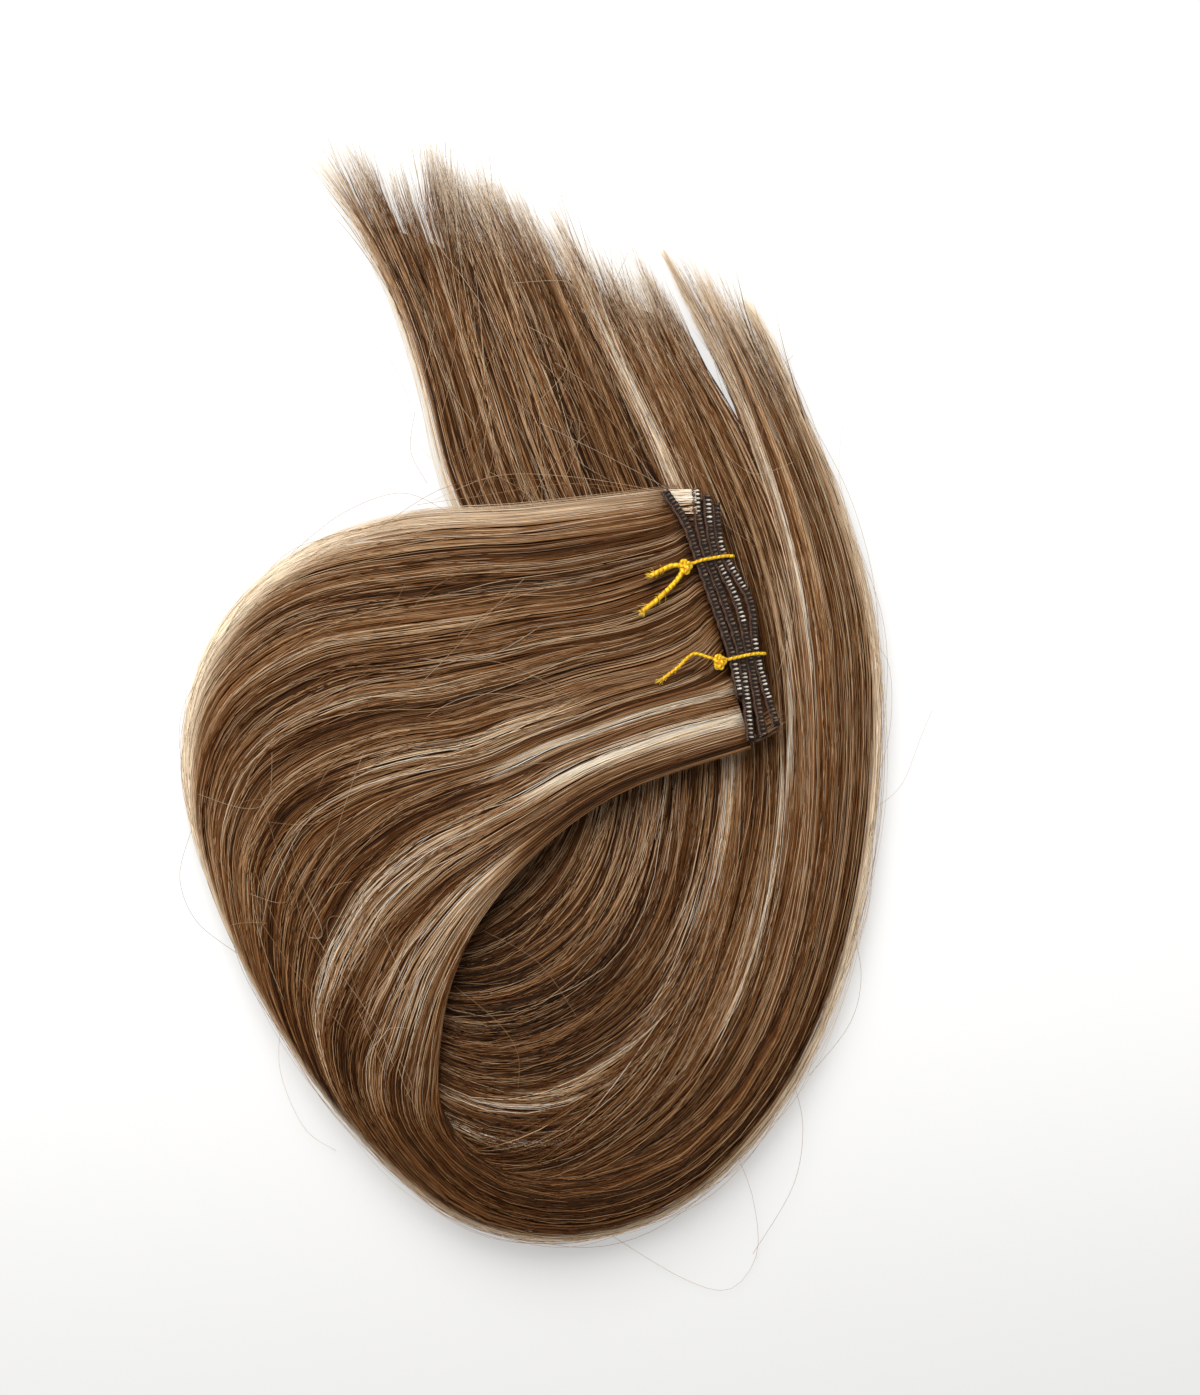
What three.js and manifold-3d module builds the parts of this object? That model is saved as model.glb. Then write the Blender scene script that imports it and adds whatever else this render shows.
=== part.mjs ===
// A hair weft laid down in one loose loop. Long two-tone hair is machine-sewn to a narrow track,
// the track is folded to and fro into a short stack, and two knotted metallic cords hold the stack.
// From the stack the hair falls to the left, turns at the front, comes back along the right,
// passes under the stack and ends in ragged tips at the back.
//
// Millimetres, +Z up, +Y towards the tips. z = 0 is the surface that the hair lies on, and the
// origin is the middle of that footprint.

import * as THREE from "three";
import { mergeVertices } from "three/addons/utils/BufferGeometryUtils.js";
import Module from "manifold-3d";

const wasm = await Module();
wasm.setup();

// Driving sizes of the hair
const LOCK_LAP = 1.3; // a lock is this much wider than its share of the fall, so that neighbours fuse
const RINGS_PER_SECTION = 2; // cross-sections of a lock for each row of its table
const PRESSED_IN = 0.6; // depth of hair that the surface flattens
const TIP_START = 0.945; // share of the length where a lock begins to thin out
const TIP_WIDTH = 0.5; // what is left of a lock's width and depth at its end
const TIP_DEPTH = 0.22;

// Driving sizes of the sewn track and of the cords
const CROWN_SHARE = 0.27; // half of the flat crown of a row or lock, as a share of its width
const FOOT_SHARE = 0.45; // half of its flat underside, as a share of its width
const SHOULDER_SHARE = 0.42; // height of its widest part, as a share of its height
const BESIDE_SHARE = 0.3; // a cord turns down this share of a row's width past the last crown
const TRACK_WIDTH = 2.3;
const TRACK_HEIGHT = 1.3;
const TOP_ROW_LIFT = 17.4; // underside of the uppermost row of the folded track
const ROW_DROP = 1.0; // each row lies this much lower than the one it peeps out from
const SEAT_GAP = 0.3; // clearance between a row and the hair roots, and round a cord
const HEAD_UNDERSIDE = 9.9; // underside of the stacked hair roots
const CORD_RADIUS = 0.5;
const CORD_SIDES = 8;

// The upper fall, sewn to the upper rows: it runs on top to the left and then all the way round.
// Each row is one section: its outer and inner edge in plan, how high the underside of the hair
// lies at either edge, and the depth of hair there.
const UPPER_FALL = [
  { outer: [37, 49], inner: [54.5, -12.8], outerLift: 13, innerLift: 13, depth: 4 },
  { outer: [0, 44.5], inner: [22.5, -24], outerLift: 12, innerLift: 12.5, depth: 6.5 },
  { outer: [-33.5, 42], inner: [0.5, -40], outerLift: 6, innerLift: 11, depth: 7 },
  { outer: [-62.8, 31], inner: [-13, -56.3], outerLift: 1, innerLift: 9.5, depth: 7 },
  { outer: [-81.8, 8], inner: [-20.3, -73.8], outerLift: 0, innerLift: 8.5, depth: 7 },
  { outer: [-86, -20.5], inner: [-23, -88.8], outerLift: 0, innerLift: 8, depth: 7.5 },
  { outer: [-80.8, -47.5], inner: [-23.3, -98.3], outerLift: 0, innerLift: 6.5, depth: 9 },
  { outer: [-67, -77.5], inner: [-21.6, -106], outerLift: 0, innerLift: 4, depth: 11 },
  { outer: [-46.3, -107.5], inner: [-16, -113.3], outerLift: 0, innerLift: 1.5, depth: 13 },
  { outer: [-18.8, -131.3], inner: [-4, -119.5], outerLift: 0, innerLift: 0, depth: 13.5 },
  { outer: [11.3, -137.3], inner: [15, -120], outerLift: 0, innerLift: 0, depth: 12 },
  { outer: [40, -127.5], inner: [37.5, -110], outerLift: 0, innerLift: 0, depth: 10 },
  { outer: [63.8, -102.5], inner: [53.3, -91.3], outerLift: 0, innerLift: 0, depth: 8.5 },
  { outer: [78.8, -70], inner: [63.8, -63.8], outerLift: 0, innerLift: 0, depth: 7.5 },
  { outer: [86.4, -30], inner: [68.8, -31.3], outerLift: 0, innerLift: 0, depth: 7 },
  { outer: [87, 10], inner: [67.8, 6.3], outerLift: 0, innerLift: 0, depth: 6.5 },
  { outer: [79.3, 42.5], inner: [63, 36.3], outerLift: 0, innerLift: 0, depth: 6 },
  { outer: [67, 72.5], inner: [53.3, 67.5], outerLift: 0, innerLift: 0, depth: 5 },
  { outer: [55.5, 96], inner: [38.4, 101], outerLift: 0, innerLift: 0, depth: 4 },
];

// The lower fall, sewn to the lower rows: it turns more tightly under the upper fall, comes out
// below that fall's inner edge and spreads out on the surface as far as the tips.
const LOWER_FALL = [
  { outer: [40.5, 37.5], inner: [55.5, -6.3], outerLift: 10, innerLift: 10, depth: 3 },
  { outer: [7.5, 30], inner: [27.5, -13.8], outerLift: 9, innerLift: 9, depth: 4 },
  { outer: [-25, 18.8], inner: [0, -23.8], outerLift: 5, innerLift: 6, depth: 5 },
  { outer: [-50, -2.5], inner: [-22.5, -35.5], outerLift: 1, innerLift: 1.5, depth: 6 },
  { outer: [-62, -32.5], inner: [-33.5, -46], outerLift: 0, innerLift: 0, depth: 6 },
  { outer: [-56.3, -66.3], inner: [-34, -54], outerLift: 0, innerLift: 0, depth: 6 },
  { outer: [-41, -96], inner: [-27.5, -56.5], outerLift: 0, innerLift: 0, depth: 6.5 },
  { outer: [-16, -118], inner: [-18.5, -52.5], outerLift: 0, innerLift: 0, depth: 7 },
  { outer: [12.5, -123], inner: [-9, -44], outerLift: 0, innerLift: 0, depth: 7.5 },
  { outer: [40.5, -110], inner: [-1, -33.5], outerLift: 0, innerLift: 0, depth: 7.5 },
  { outer: [58, -86.5], inner: [4, -21.5], outerLift: 0, innerLift: 0, depth: 7 },
  { outer: [68, -56.5], inner: [5, -8], outerLift: 0, innerLift: 0, depth: 7 },
  { outer: [72.5, -25], inner: [2, 7], outerLift: 0, innerLift: 0, depth: 6.5 },
  { outer: [71.5, 6.3], inner: [-5.5, 21.8], outerLift: 0, innerLift: 0, depth: 6.5 },
  { outer: [65.5, 36], inner: [-15.5, 36.8], outerLift: 0, innerLift: 0, depth: 6 },
  { outer: [55.5, 63.5], inner: [-23, 53.8], outerLift: 0, innerLift: 0, depth: 5.5 },
  { outer: [44.5, 86.3], inner: [-28, 75], outerLift: 0, innerLift: 0, depth: 5 },
  { outer: [35.5, 99], inner: [-35, 97.5], outerLift: 0, innerLift: 0, depth: 4.5 },
  { outer: [30, 104], inner: [-47, 123], outerLift: 0, innerLift: 0, depth: 4 },
];

// How far each lock's tip runs past the last section, from the outer lock to the inner one
const UPPER_TIPS = [2, 5, 3, 6, 7];
const LOWER_TIPS = [3, 6, 10, 15, 20, 15, 19, 15];

// Rows of the folded track, from the uppermost and leftmost one to the lowest, in plan: the two
// ends, the bend below the upper end, the places where the cords cross, and the middle between
// the cords, where the lower rows bow out
const TRACK_ROWS = [
  {
    top: [33.4, 49.2],
    bend: [38.6, 41.2],
    upperTie: [41.9, 32],
    middle: [46.2, 20],
    lowerTie: [50.2, 7.9],
    bottom: [52, -2],
  },
  {
    top: [41.2, 49.8],
    bend: [41.9, 41.4],
    upperTie: [44.1, 32.5],
    middle: [48.6, 20.5],
    lowerTie: [52.3, 8.4],
    bottom: [54.8, -12.4],
  },
  {
    top: [43.9, 48.4],
    bend: [44.5, 40.9],
    upperTie: [46.2, 32.9],
    middle: [51.6, 21.2],
    lowerTie: [54.3, 8.8],
    bottom: [57.9, -11.2],
  },
  {
    top: [46.2, 46.4],
    bend: [46.7, 40.2],
    upperTie: [48.3, 33.2],
    middle: [54.7, 21.8],
    lowerTie: [56.2, 9],
    bottom: [61.2, -9],
  },
];

// Each cord is tied round the track just beside a knot, and its cut ends lie on the hair
const TIES = [
  {
    name: "tie_upper",
    crossing: "upperTie",
    knot: [38.6, 30.6, 19.3],
    tails: [
      [[35, 30.6, 19.9], [30.2, 28.2, 20.2]],
      [[36.4, 27, 19.9], [32, 22.6, 20.3], [28, 19.4, 20.3]],
    ],
  },
  {
    name: "tie_lower",
    crossing: "lowerTie",
    knot: [47.1, 7.1, 19.3],
    tails: [[[43.8, 8.2, 20.1], [40.4, 8.8, 20.8], [36.6, 5.4, 20.4], [32.6, 2.4, 20.2]]],
  },
];

// Lumps of a knot, as offsets from its middle, and their size in cord radii
const KNOT_LUMPS = [
  { at: [0.3, 0.4, 0.1], swell: 2.1 },
  { at: [-0.4, -0.5, 0], swell: 1.9 },
];
const LOOP_STEPS = 24;
const TAIL_STEPS = 7;
const FINEST_DETAIL = 0.05; // slivers finer than this are smoothed away where locks meet
const SURFACE_SIDE = 500; // reach of the flat surface that trims the hair

// Colours of the pieces as they show in daylight
const HAIR_FINISH = new THREE.MeshStandardMaterial({ color: 0x7a5a3c, roughness: 0.45 });
const TRACK_FINISH = new THREE.MeshStandardMaterial({ color: 0x2e231d, roughness: 0.85 });
const CORD_FINISH = new THREE.MeshStandardMaterial({ color: 0xd9a514, roughness: 0.35, metalness: 0.7 });

// A closed skin through rings of equal point count, capped at both ends
function loft(rings) {
  const sides = rings[0].length;
  const index = [];
  for (let ring = 0; ring < rings.length - 1; ring++) {
    for (let side = 0; side < sides; side++) {
      const along = (side + 1) % sides;
      const [a, b] = [ring * sides + side, ring * sides + along];
      const [c, d] = [b + sides, a + sides];
      index.push(a, b, c, a, c, d);
    }
  }
  const last = (rings.length - 1) * sides;
  for (let side = 1; side < sides - 1; side++) {
    index.push(0, side + 1, side, last, last + side, last + side + 1);
  }
  return new THREE.BufferGeometry().setFromPoints(rings.flat()).setIndex(index);
}

// A solid for joining and cutting, from a closed geometry
function solidOf(geometry) {
  const bare = geometry.clone();
  bare.deleteAttribute("normal");
  bare.deleteAttribute("uv");
  const merged = mergeVertices(bare);
  return new wasm.Manifold(
    new wasm.Mesh({
      numProp: 3,
      vertProperties: merged.attributes.position.array,
      triVerts: new Uint32Array(merged.index.array),
    }),
  );
}

function fused(solids) {
  return solids.reduce((whole, solid) => whole.add(solid));
}

function geometryOf(solid) {
  const { vertProperties, triVerts } = solid.getMesh();
  const geometry = new THREE.BufferGeometry();
  geometry.setAttribute("position", new THREE.BufferAttribute(vertProperties, 3));
  geometry.setIndex(new THREE.BufferAttribute(triVerts, 1));
  geometry.computeVertexNormals();
  return geometry;
}

// Places a flat section (across, up) at a point, square to the direction of travel in plan
function ringAt(section, point, travel) {
  const across = new THREE.Vector3(travel.y, -travel.x, 0).normalize();
  return section.map(([side, up]) =>
    point.clone().addScaledVector(across, side).add(new THREE.Vector3(0, 0, up)),
  );
}

// Flat-bottomed section with a crowned top, for a lock of hair or a row of the track
function crownedSection(width, height) {
  const [half, foot, crown] = [width / 2, FOOT_SHARE * width, CROWN_SHARE * width];
  const shoulder = SHOULDER_SHARE * height;
  return [
    [-foot, 0],
    [-half, shoulder],
    [-crown, height],
    [crown, height],
    [half, shoulder],
    [foot, 0],
  ];
}

function travelAt(points, place) {
  const ahead = points[Math.min(place + 1, points.length - 1)];
  const behind = points[Math.max(place - 1, 0)];
  return ahead.clone().sub(behind);
}

// One fall of hair: its sections give two edge curves, and each lock keeps its share between them
function hairFall(sections, tips) {
  const edge = (side, lift) =>
    new THREE.CatmullRomCurve3(sections.map((row) => new THREE.Vector3(...row[side], row[lift])));
  const outerEdge = edge("outer", "outerLift");
  const innerEdge = edge("inner", "innerLift");
  const ringCount = (sections.length - 1) * RINGS_PER_SECTION + 1;
  const shares = Array.from({ length: ringCount }, (_, ring) => ring / (ringCount - 1));

  const depthAt = (share) => {
    const place = share * (sections.length - 1);
    const row = Math.min(Math.floor(place), sections.length - 2);
    return THREE.MathUtils.lerp(sections[row].depth, sections[row + 1].depth, place - row);
  };

  return tips.map((tipReach, lock) => {
    const centre = shares.map((share) =>
      outerEdge.getPoint(share).lerp(innerEdge.getPoint(share), (lock + 0.5) / tips.length),
    );
    const tip = travelAt(centre, ringCount - 1).setZ(0).setLength(tipReach);
    centre.at(-1).add(tip);
    const rings = shares.map((share, ring) => {
      const travel = travelAt(centre, ring).setZ(0).normalize();
      const span = innerEdge.getPoint(share).sub(outerEdge.getPoint(share)).setZ(0);
      const square = Math.abs(span.x * travel.y - span.y * travel.x);
      const thinning = THREE.MathUtils.smoothstep(share, TIP_START, 1);
      const width = ((LOCK_LAP * square) / tips.length) * (1 - (1 - TIP_WIDTH) * thinning);
      const depth = depthAt(share) * (1 - (1 - TIP_DEPTH) * thinning);
      const seat = centre[ring].clone();
      seat.z -= PRESSED_IN;
      return ringAt(crownedSection(width, depth + PRESSED_IN), seat, travel);
    });
    return solidOf(loft(rings));
  });
}

// Plan curve of one row of the track, at the height of its place in the stack
function rowCurve(row, place) {
  const lift = TOP_ROW_LIFT - place * ROW_DROP;
  const ends = [row.top, row.bend, row.upperTie, row.middle, row.lowerTie, row.bottom];
  return new THREE.CatmullRomCurve3(ends.map(([x, y]) => new THREE.Vector3(x, y, lift)));
}

const ROW_STEPS = 10;
const rowPoints = TRACK_ROWS.map((row, place) => rowCurve(row, place).getPoints(ROW_STEPS));

// The folded track: rows side by side, pulled together under the cords, with the last fold
// closing the stack at its lower end. Some room all round gives its seat in the hair.
function weftTrack(room = 0) {
  const section = crownedSection(TRACK_WIDTH + 2 * room, TRACK_HEIGHT + 2 * room).map(
    ([side, up]) => [side, up - room],
  );
  const strip = (points) =>
    solidOf(loft(points.map((point, place) => ringAt(section, point, travelAt(points, place)))));
  const foldPoints = rowPoints.slice(1).map((points) => points.at(-1));
  return fused([...rowPoints, foldPoints].map(strip));
}

// The stack of hair roots under the rows, which the locks of both falls grow from
function rootStack() {
  const [first, last] = [rowPoints[0], rowPoints.at(-1)];
  const rings = first.map((left, place) => {
    const right = last[place];
    const [leftX, rightX] = [left.x - TRACK_WIDTH / 2, right.x + TRACK_WIDTH / 2];
    const [leftTop, rightTop] = [left.z - SEAT_GAP, right.z - SEAT_GAP - ROW_DROP];
    return [
      new THREE.Vector3(rightX, right.y, HEAD_UNDERSIDE),
      new THREE.Vector3(rightX, right.y, rightTop),
      new THREE.Vector3(leftX, left.y, leftTop),
      new THREE.Vector3(leftX, left.y, HEAD_UNDERSIDE),
    ];
  });
  return solidOf(loft(rings));
}

// A round cord along a path
function cord(route, radius, steps) {
  const section = new THREE.Shape().absarc(0, 0, radius, 0, 2 * Math.PI);
  const sweep = {
    steps,
    curveSegments: CORD_SIDES / 2,
    bevelEnabled: false,
    extrudePath: new THREE.CatmullRomCurve3(route),
  };
  return solidOf(new THREE.ExtrudeGeometry(section, sweep));
}

// The loop of a cord: from its knot over the crown of every row, down beside the last one,
// back under the hair roots and up again through the hair to the knot
function loopRoute(sizes, knot) {
  const rise = TRACK_HEIGHT + SEAT_GAP + CORD_RADIUS;
  const over = TRACK_ROWS.map((row, place) => {
    const [x, y] = row[sizes.crossing];
    return new THREE.Vector3(x + CROWN_SHARE * TRACK_WIDTH, y, TOP_ROW_LIFT - place * ROW_DROP + rise);
  });
  const [first, last] = [over[0], over.at(-1)];
  const beside = last.x + BESIDE_SHARE * TRACK_WIDTH + SEAT_GAP + CORD_RADIUS;
  const below = HEAD_UNDERSIDE - SEAT_GAP - CORD_RADIUS;
  return [
    knot,
    ...over,
    new THREE.Vector3(beside, last.y, last.z - rise + TRACK_HEIGHT / 2),
    new THREE.Vector3(beside, last.y, HEAD_UNDERSIDE),
    new THREE.Vector3(last.x, last.y, below),
    new THREE.Vector3(first.x, first.y, below),
    new THREE.Vector3(knot.x - CORD_RADIUS, knot.y, (below + knot.z) / 2),
    knot,
  ];
}

// A cord with its knot and cut ends. A larger radius gives the room that it needs in the hair.
function tie(sizes, radius) {
  const knot = new THREE.Vector3(...sizes.knot);
  const lumps = KNOT_LUMPS.map(({ at, swell }) => {
    const lump = new THREE.IcosahedronGeometry(radius * swell, 1);
    return solidOf(lump.translate(...at).translate(...sizes.knot));
  });
  const tails = sizes.tails.map((points) => {
    const route = [knot, ...points.map((point) => new THREE.Vector3(...point))];
    return cord(route, radius, TAIL_STEPS);
  });
  return fused([cord(loopRoute(sizes, knot), radius, LOOP_STEPS), ...lumps, ...tails]);
}

const surface = new THREE.BoxGeometry(SURFACE_SIDE, SURFACE_SIDE, SURFACE_SIDE);
surface.translate(0, 0, -SURFACE_SIDE / 2);

// Hair fills the pockets that the two falls close in between them, so only the outer skin is kept
function outerSkin(solid) {
  const bodies = solidOf(geometryOf(solid)).decompose();
  return bodies.reduce((most, body) => (body.volume() > most.volume() ? body : most));
}

function hairOfBothFalls() {
  const falls = [...hairFall(UPPER_FALL, UPPER_TIPS), ...hairFall(LOWER_FALL, LOWER_TIPS)];
  const lying = outerSkin(fused([...falls, rootStack()]).subtract(solidOf(surface)));
  const seats = TIES.map((sizes) => tie(sizes, CORD_RADIUS + SEAT_GAP));
  const tied = lying.subtract(fused([weftTrack(SEAT_GAP), ...seats]));
  return outerSkin(tied.simplify(FINEST_DETAIL));
}

function piece(name, solid, finish) {
  const mesh = new THREE.Mesh(geometryOf(solid), finish);
  mesh.name = name;
  return mesh;
}

const weft = new THREE.Group();
weft.add(piece("hair", hairOfBothFalls(), HAIR_FINISH));
weft.add(piece("weft_track", weftTrack(), TRACK_FINISH));
TIES.forEach((sizes) => weft.add(piece(sizes.name, tie(sizes, CORD_RADIUS), CORD_FINISH)));

export default weft;
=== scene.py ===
# A hair weft laid down in a loop and seen from straight above: two falls of highlighted brown hair,
# the folded sewn track that holds their roots, and the two gold cords that tie the folds together.
import bpy
import numpy as np
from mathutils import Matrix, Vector


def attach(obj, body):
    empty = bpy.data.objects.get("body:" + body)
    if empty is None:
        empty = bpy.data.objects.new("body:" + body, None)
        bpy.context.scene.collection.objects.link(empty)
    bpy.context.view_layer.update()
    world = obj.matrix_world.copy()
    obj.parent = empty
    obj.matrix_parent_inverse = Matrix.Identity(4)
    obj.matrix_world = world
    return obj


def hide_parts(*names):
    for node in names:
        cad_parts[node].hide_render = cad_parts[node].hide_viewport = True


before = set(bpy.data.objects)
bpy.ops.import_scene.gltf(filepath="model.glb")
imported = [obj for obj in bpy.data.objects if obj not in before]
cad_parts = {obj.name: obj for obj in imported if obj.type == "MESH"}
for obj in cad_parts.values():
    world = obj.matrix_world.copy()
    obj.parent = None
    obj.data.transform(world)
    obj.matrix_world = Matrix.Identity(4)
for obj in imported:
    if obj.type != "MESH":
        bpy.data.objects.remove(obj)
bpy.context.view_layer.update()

# The lower fall is the hair from the folds underneath. It comes out below the upper fall, lies on the
# surface round the inside of the loop and ends in the long ragged tips. It is a dense body of brown hair
# with single strands combed over it, all of them sewn into the track at their roots.
MM = 0.001
SECTION_FULLNESS = 0.62  # how square the fall's section is: 1 is an ellipse, 0 a box
TIP_ROW_SPACING = 24.0  # millimetres between rows at the tips, where strands run on past the last one
HEADING_ROWS = 0.4  # rows over which the heading of those strands is taken

# A row for each section: outer edge x, y, inner edge x, y, lift of the two edges, depth, turn in degrees
LOWER_FALL = np.array([
    [40.5, 37.5, 55.5, -6.3, 10.0, 10.0, 3.0, 0],
    [7.5, 30.0, 27.5, -13.8, 9.0, 9.0, 4.0, 0],
    [-25.0, 18.8, 0.0, -23.8, 5.0, 6.0, 5.0, 0],
    [-50.0, -2.5, -22.5, -35.5, 1.0, 1.5, 6.0, 0],
    [-62.0, -32.5, -33.5, -46.0, 0.0, 0.0, 6.0, 0],
    [-56.3, -66.3, -34.0, -54.0, 0.0, 0.0, 6.0, 0],
    [-41.0, -96.0, -27.5, -56.5, 0.0, 0.0, 6.5, 0],
    [-16.0, -118.0, -18.5, -52.5, 0.0, 0.0, 7.0, 0],
    [12.5, -123.0, -9.0, -44.0, 0.0, 0.0, 7.5, 0],
    [40.5, -110.0, -1.0, -33.5, 0.0, 0.0, 7.5, 0],
    [58.0, -86.5, 4.0, -21.5, 0.0, 0.0, 7.0, 0],
    [68.0, -56.5, 5.0, -8.0, 0.0, 0.0, 7.0, 0],
    [72.5, -25.0, 2.0, 7.0, 0.0, 0.0, 6.5, 0],
    [71.5, 6.3, -5.5, 21.8, 0.0, 0.0, 6.5, 0],
    [65.5, 36.0, -15.5, 36.8, 0.0, 0.0, 6.0, 0],
    [54.6, 63.5, -23.0, 53.8, 0.0, 0.0, 5.5, 0],
    [42.4, 86.3, -28.0, 75.0, 0.0, 0.0, 5.0, 0],
    [31.5, 109.0, -35.0, 97.5, 0.0, 0.0, 4.5, 0],
    [21.0, 131.0, -47.0, 123.0, 0.0, 0.0, 4.0, 0],
])
# Row at which the tips are cut, from the outer edge of the fall to the inner one
LOWER_TIPS = np.array([
    [0, 16.7], [0.15, 16.85], [0.27, 17.1], [0.36, 17.4], [0.45, 17.75], [0.55, 18.0], [0.65, 18.1],
    [0.8, 18.1], [0.85, 18.2], [0.9, 18.4], [0.95, 18.5], [1, 18.4],
])


def along(rows, place):
    """Values at any place between a table's rows, by a smooth curve through them."""
    last = len(rows) - 1
    place = np.clip(place, 0, last)
    before = np.clip(np.floor(place).astype(int), 0, last - 1)
    share = (place - before)[..., None]
    a = rows[np.maximum(before - 1, 0)]
    b = rows[before]
    c = rows[before + 1]
    d = rows[np.minimum(before + 2, last)]
    bend = 2 * a - 5 * b + 4 * c - d
    twist = 3 * b - a - 3 * c + d
    return b + 0.5 * ((c - a) * share + bend * share ** 2 + twist * share ** 3)


def smooth_step(low, high, value):
    """0 below the low value, 1 above the high one, and a smooth rise between them."""
    share = np.clip((value - low) / (high - low), 0, 1)
    return share * share * (3 - 2 * share)


def fall_points(fall, place, turn, lift):
    """Points of a fall in millimetres, how far across it they lie, and its width there. The place counts
    rows from the track, the turn goes round the section from the outer edge over the top, and the lift
    is the distance off the skin."""
    row = along(fall, place)
    outer = row[..., 0:2]
    inner = row[..., 2:4]
    width = np.linalg.norm(inner - outer, axis=-1)
    depth = row[..., 6]
    across = 0.5 - 0.5 * np.cos(turn) * (1 + 2 * lift / width)
    rise = np.sign(np.sin(turn)) * np.abs(np.sin(turn)) ** SECTION_FULLNESS
    height = 0.5 + 0.5 * rise * (1 + 2 * lift / depth)
    flat = outer + across[..., None] * (inner - outer)
    low = row[..., 4] + across * (row[..., 5] - row[..., 4])
    return np.concatenate([flat, (low + depth * height)[..., None]], axis=-1), across, width


def strand_points(fall, place, turn, lift):
    """The same, with the strands running straight on where their place is past the last row."""
    last = len(fall) - 1
    points, across, width = fall_points(fall, place, turn, lift)
    end, _, _ = fall_points(fall, np.full_like(place, last), turn, lift)
    before, _, _ = fall_points(fall, np.full_like(place, last - HEADING_ROWS), turn, lift)
    heading = end - before
    heading[..., 2] = 0
    heading /= np.linalg.norm(heading, axis=-1, keepdims=True)
    points = points + heading * (np.maximum(place - last, 0) * TIP_ROW_SPACING)[..., None]
    return points, across, width


def mesh_object(name, corners, quads, triangles, material):
    """A smooth mesh from arrays: corners in millimetres, then the faces as rows of corner numbers."""
    quads = np.asarray(quads, dtype=np.int32).reshape(-1, 4)
    triangles = np.asarray(triangles, dtype=np.int32).reshape(-1, 3)
    loops = np.concatenate([quads.ravel(), triangles.ravel()])
    starts = np.arange(len(quads)) * 4
    starts = np.concatenate([starts, len(quads) * 4 + np.arange(len(triangles)) * 3])
    mesh = bpy.data.meshes.new(name)
    mesh.vertices.add(len(corners))
    mesh.vertices.foreach_set("co", (np.asarray(corners, dtype=np.float32) * MM).ravel())
    mesh.loops.add(len(loops))
    mesh.loops.foreach_set("vertex_index", loops.astype(np.int32))
    mesh.polygons.add(len(starts))
    mesh.polygons.foreach_set("loop_start", starts.astype(np.int32))
    mesh.update(calc_edges=True)
    mesh.shade_smooth()
    mesh.materials.append(material)
    piece = bpy.data.objects.new(name, mesh)
    bpy.context.scene.collection.objects.link(piece)
    return piece


def lay_map(piece, name, corner_uv):
    """A texture map from one u, v pair for each corner of the mesh."""
    mesh = piece.data
    numbers = np.empty(len(mesh.loops), dtype=np.int32)
    mesh.loops.foreach_get("vertex_index", numbers)
    layer = mesh.uv_layers.new(name=name)
    layer.data.foreach_set("uv", np.asarray(corner_uv, dtype=np.float32)[numbers].ravel())


def colour_corners(piece, colours):
    """Linear colours painted on a piece, one for each corner of the mesh."""
    layer = piece.data.color_attributes.new("colour_with_painted_light", "FLOAT_COLOR", "POINT")
    opaque = np.ones((len(colours), 1))
    layer.data.foreach_set("color", np.concatenate([colours, opaque], axis=1).astype(np.float32).ravel())


def linear(colour):
    """Screen colours, 0 to 255, as the linear light that shaders mix."""
    share = np.asarray(colour, dtype=float) / 255
    return np.where(share <= 0.04045, share / 12.92, ((share + 0.055) / 1.055) ** 2.4)


# Hair colours from the darkest strand to the palest, as an even scale of tone from 0 to 1
HAIR_SCALE = np.array([
    [38, 17, 4],
    [84, 46, 15],
    [127, 81, 42],
    [168, 128, 88],
    [210, 182, 148],
    [241, 230, 211],
])
WARM_SHIFT = np.array([0.01, -0.015, -0.06])  # how red, green and blue differ between ash and golden hair
PALE_EDGE = np.array([255, 240, 215])  # thin hair at the rim, with the white surface shining through it


def hair_colours(tone, pale):
    """Linear colours for a tone on the hair scale, each strand a little more ash or golden than the next,
    faded to the pale rim colour where pale nears 1."""
    steps = np.linspace(0, 1, len(HAIR_SCALE))
    scale = np.stack([np.interp(tone, steps, HAIR_SCALE[:, band]) for band in range(3)], axis=-1)
    warmth = np.random.default_rng(len(tone)).normal(0, 1, len(tone))[:, None, None]
    scale = np.clip(scale * (1 + warmth * WARM_SHIFT), 0, 255)
    share = np.clip(pale, 0, 1)[..., None]
    return linear(scale * (1 - share) + PALE_EDGE * share)


STRAND_CORNERS = np.radians([90, 210, 330])
MAP_RANGE = (0.001, 0.999)  # stretch of the texture map's width that a strand takes up
MAP_ROWS = np.array([0.2, 0.5, 0.8])  # where its three sides lie within its own row of the map


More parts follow.
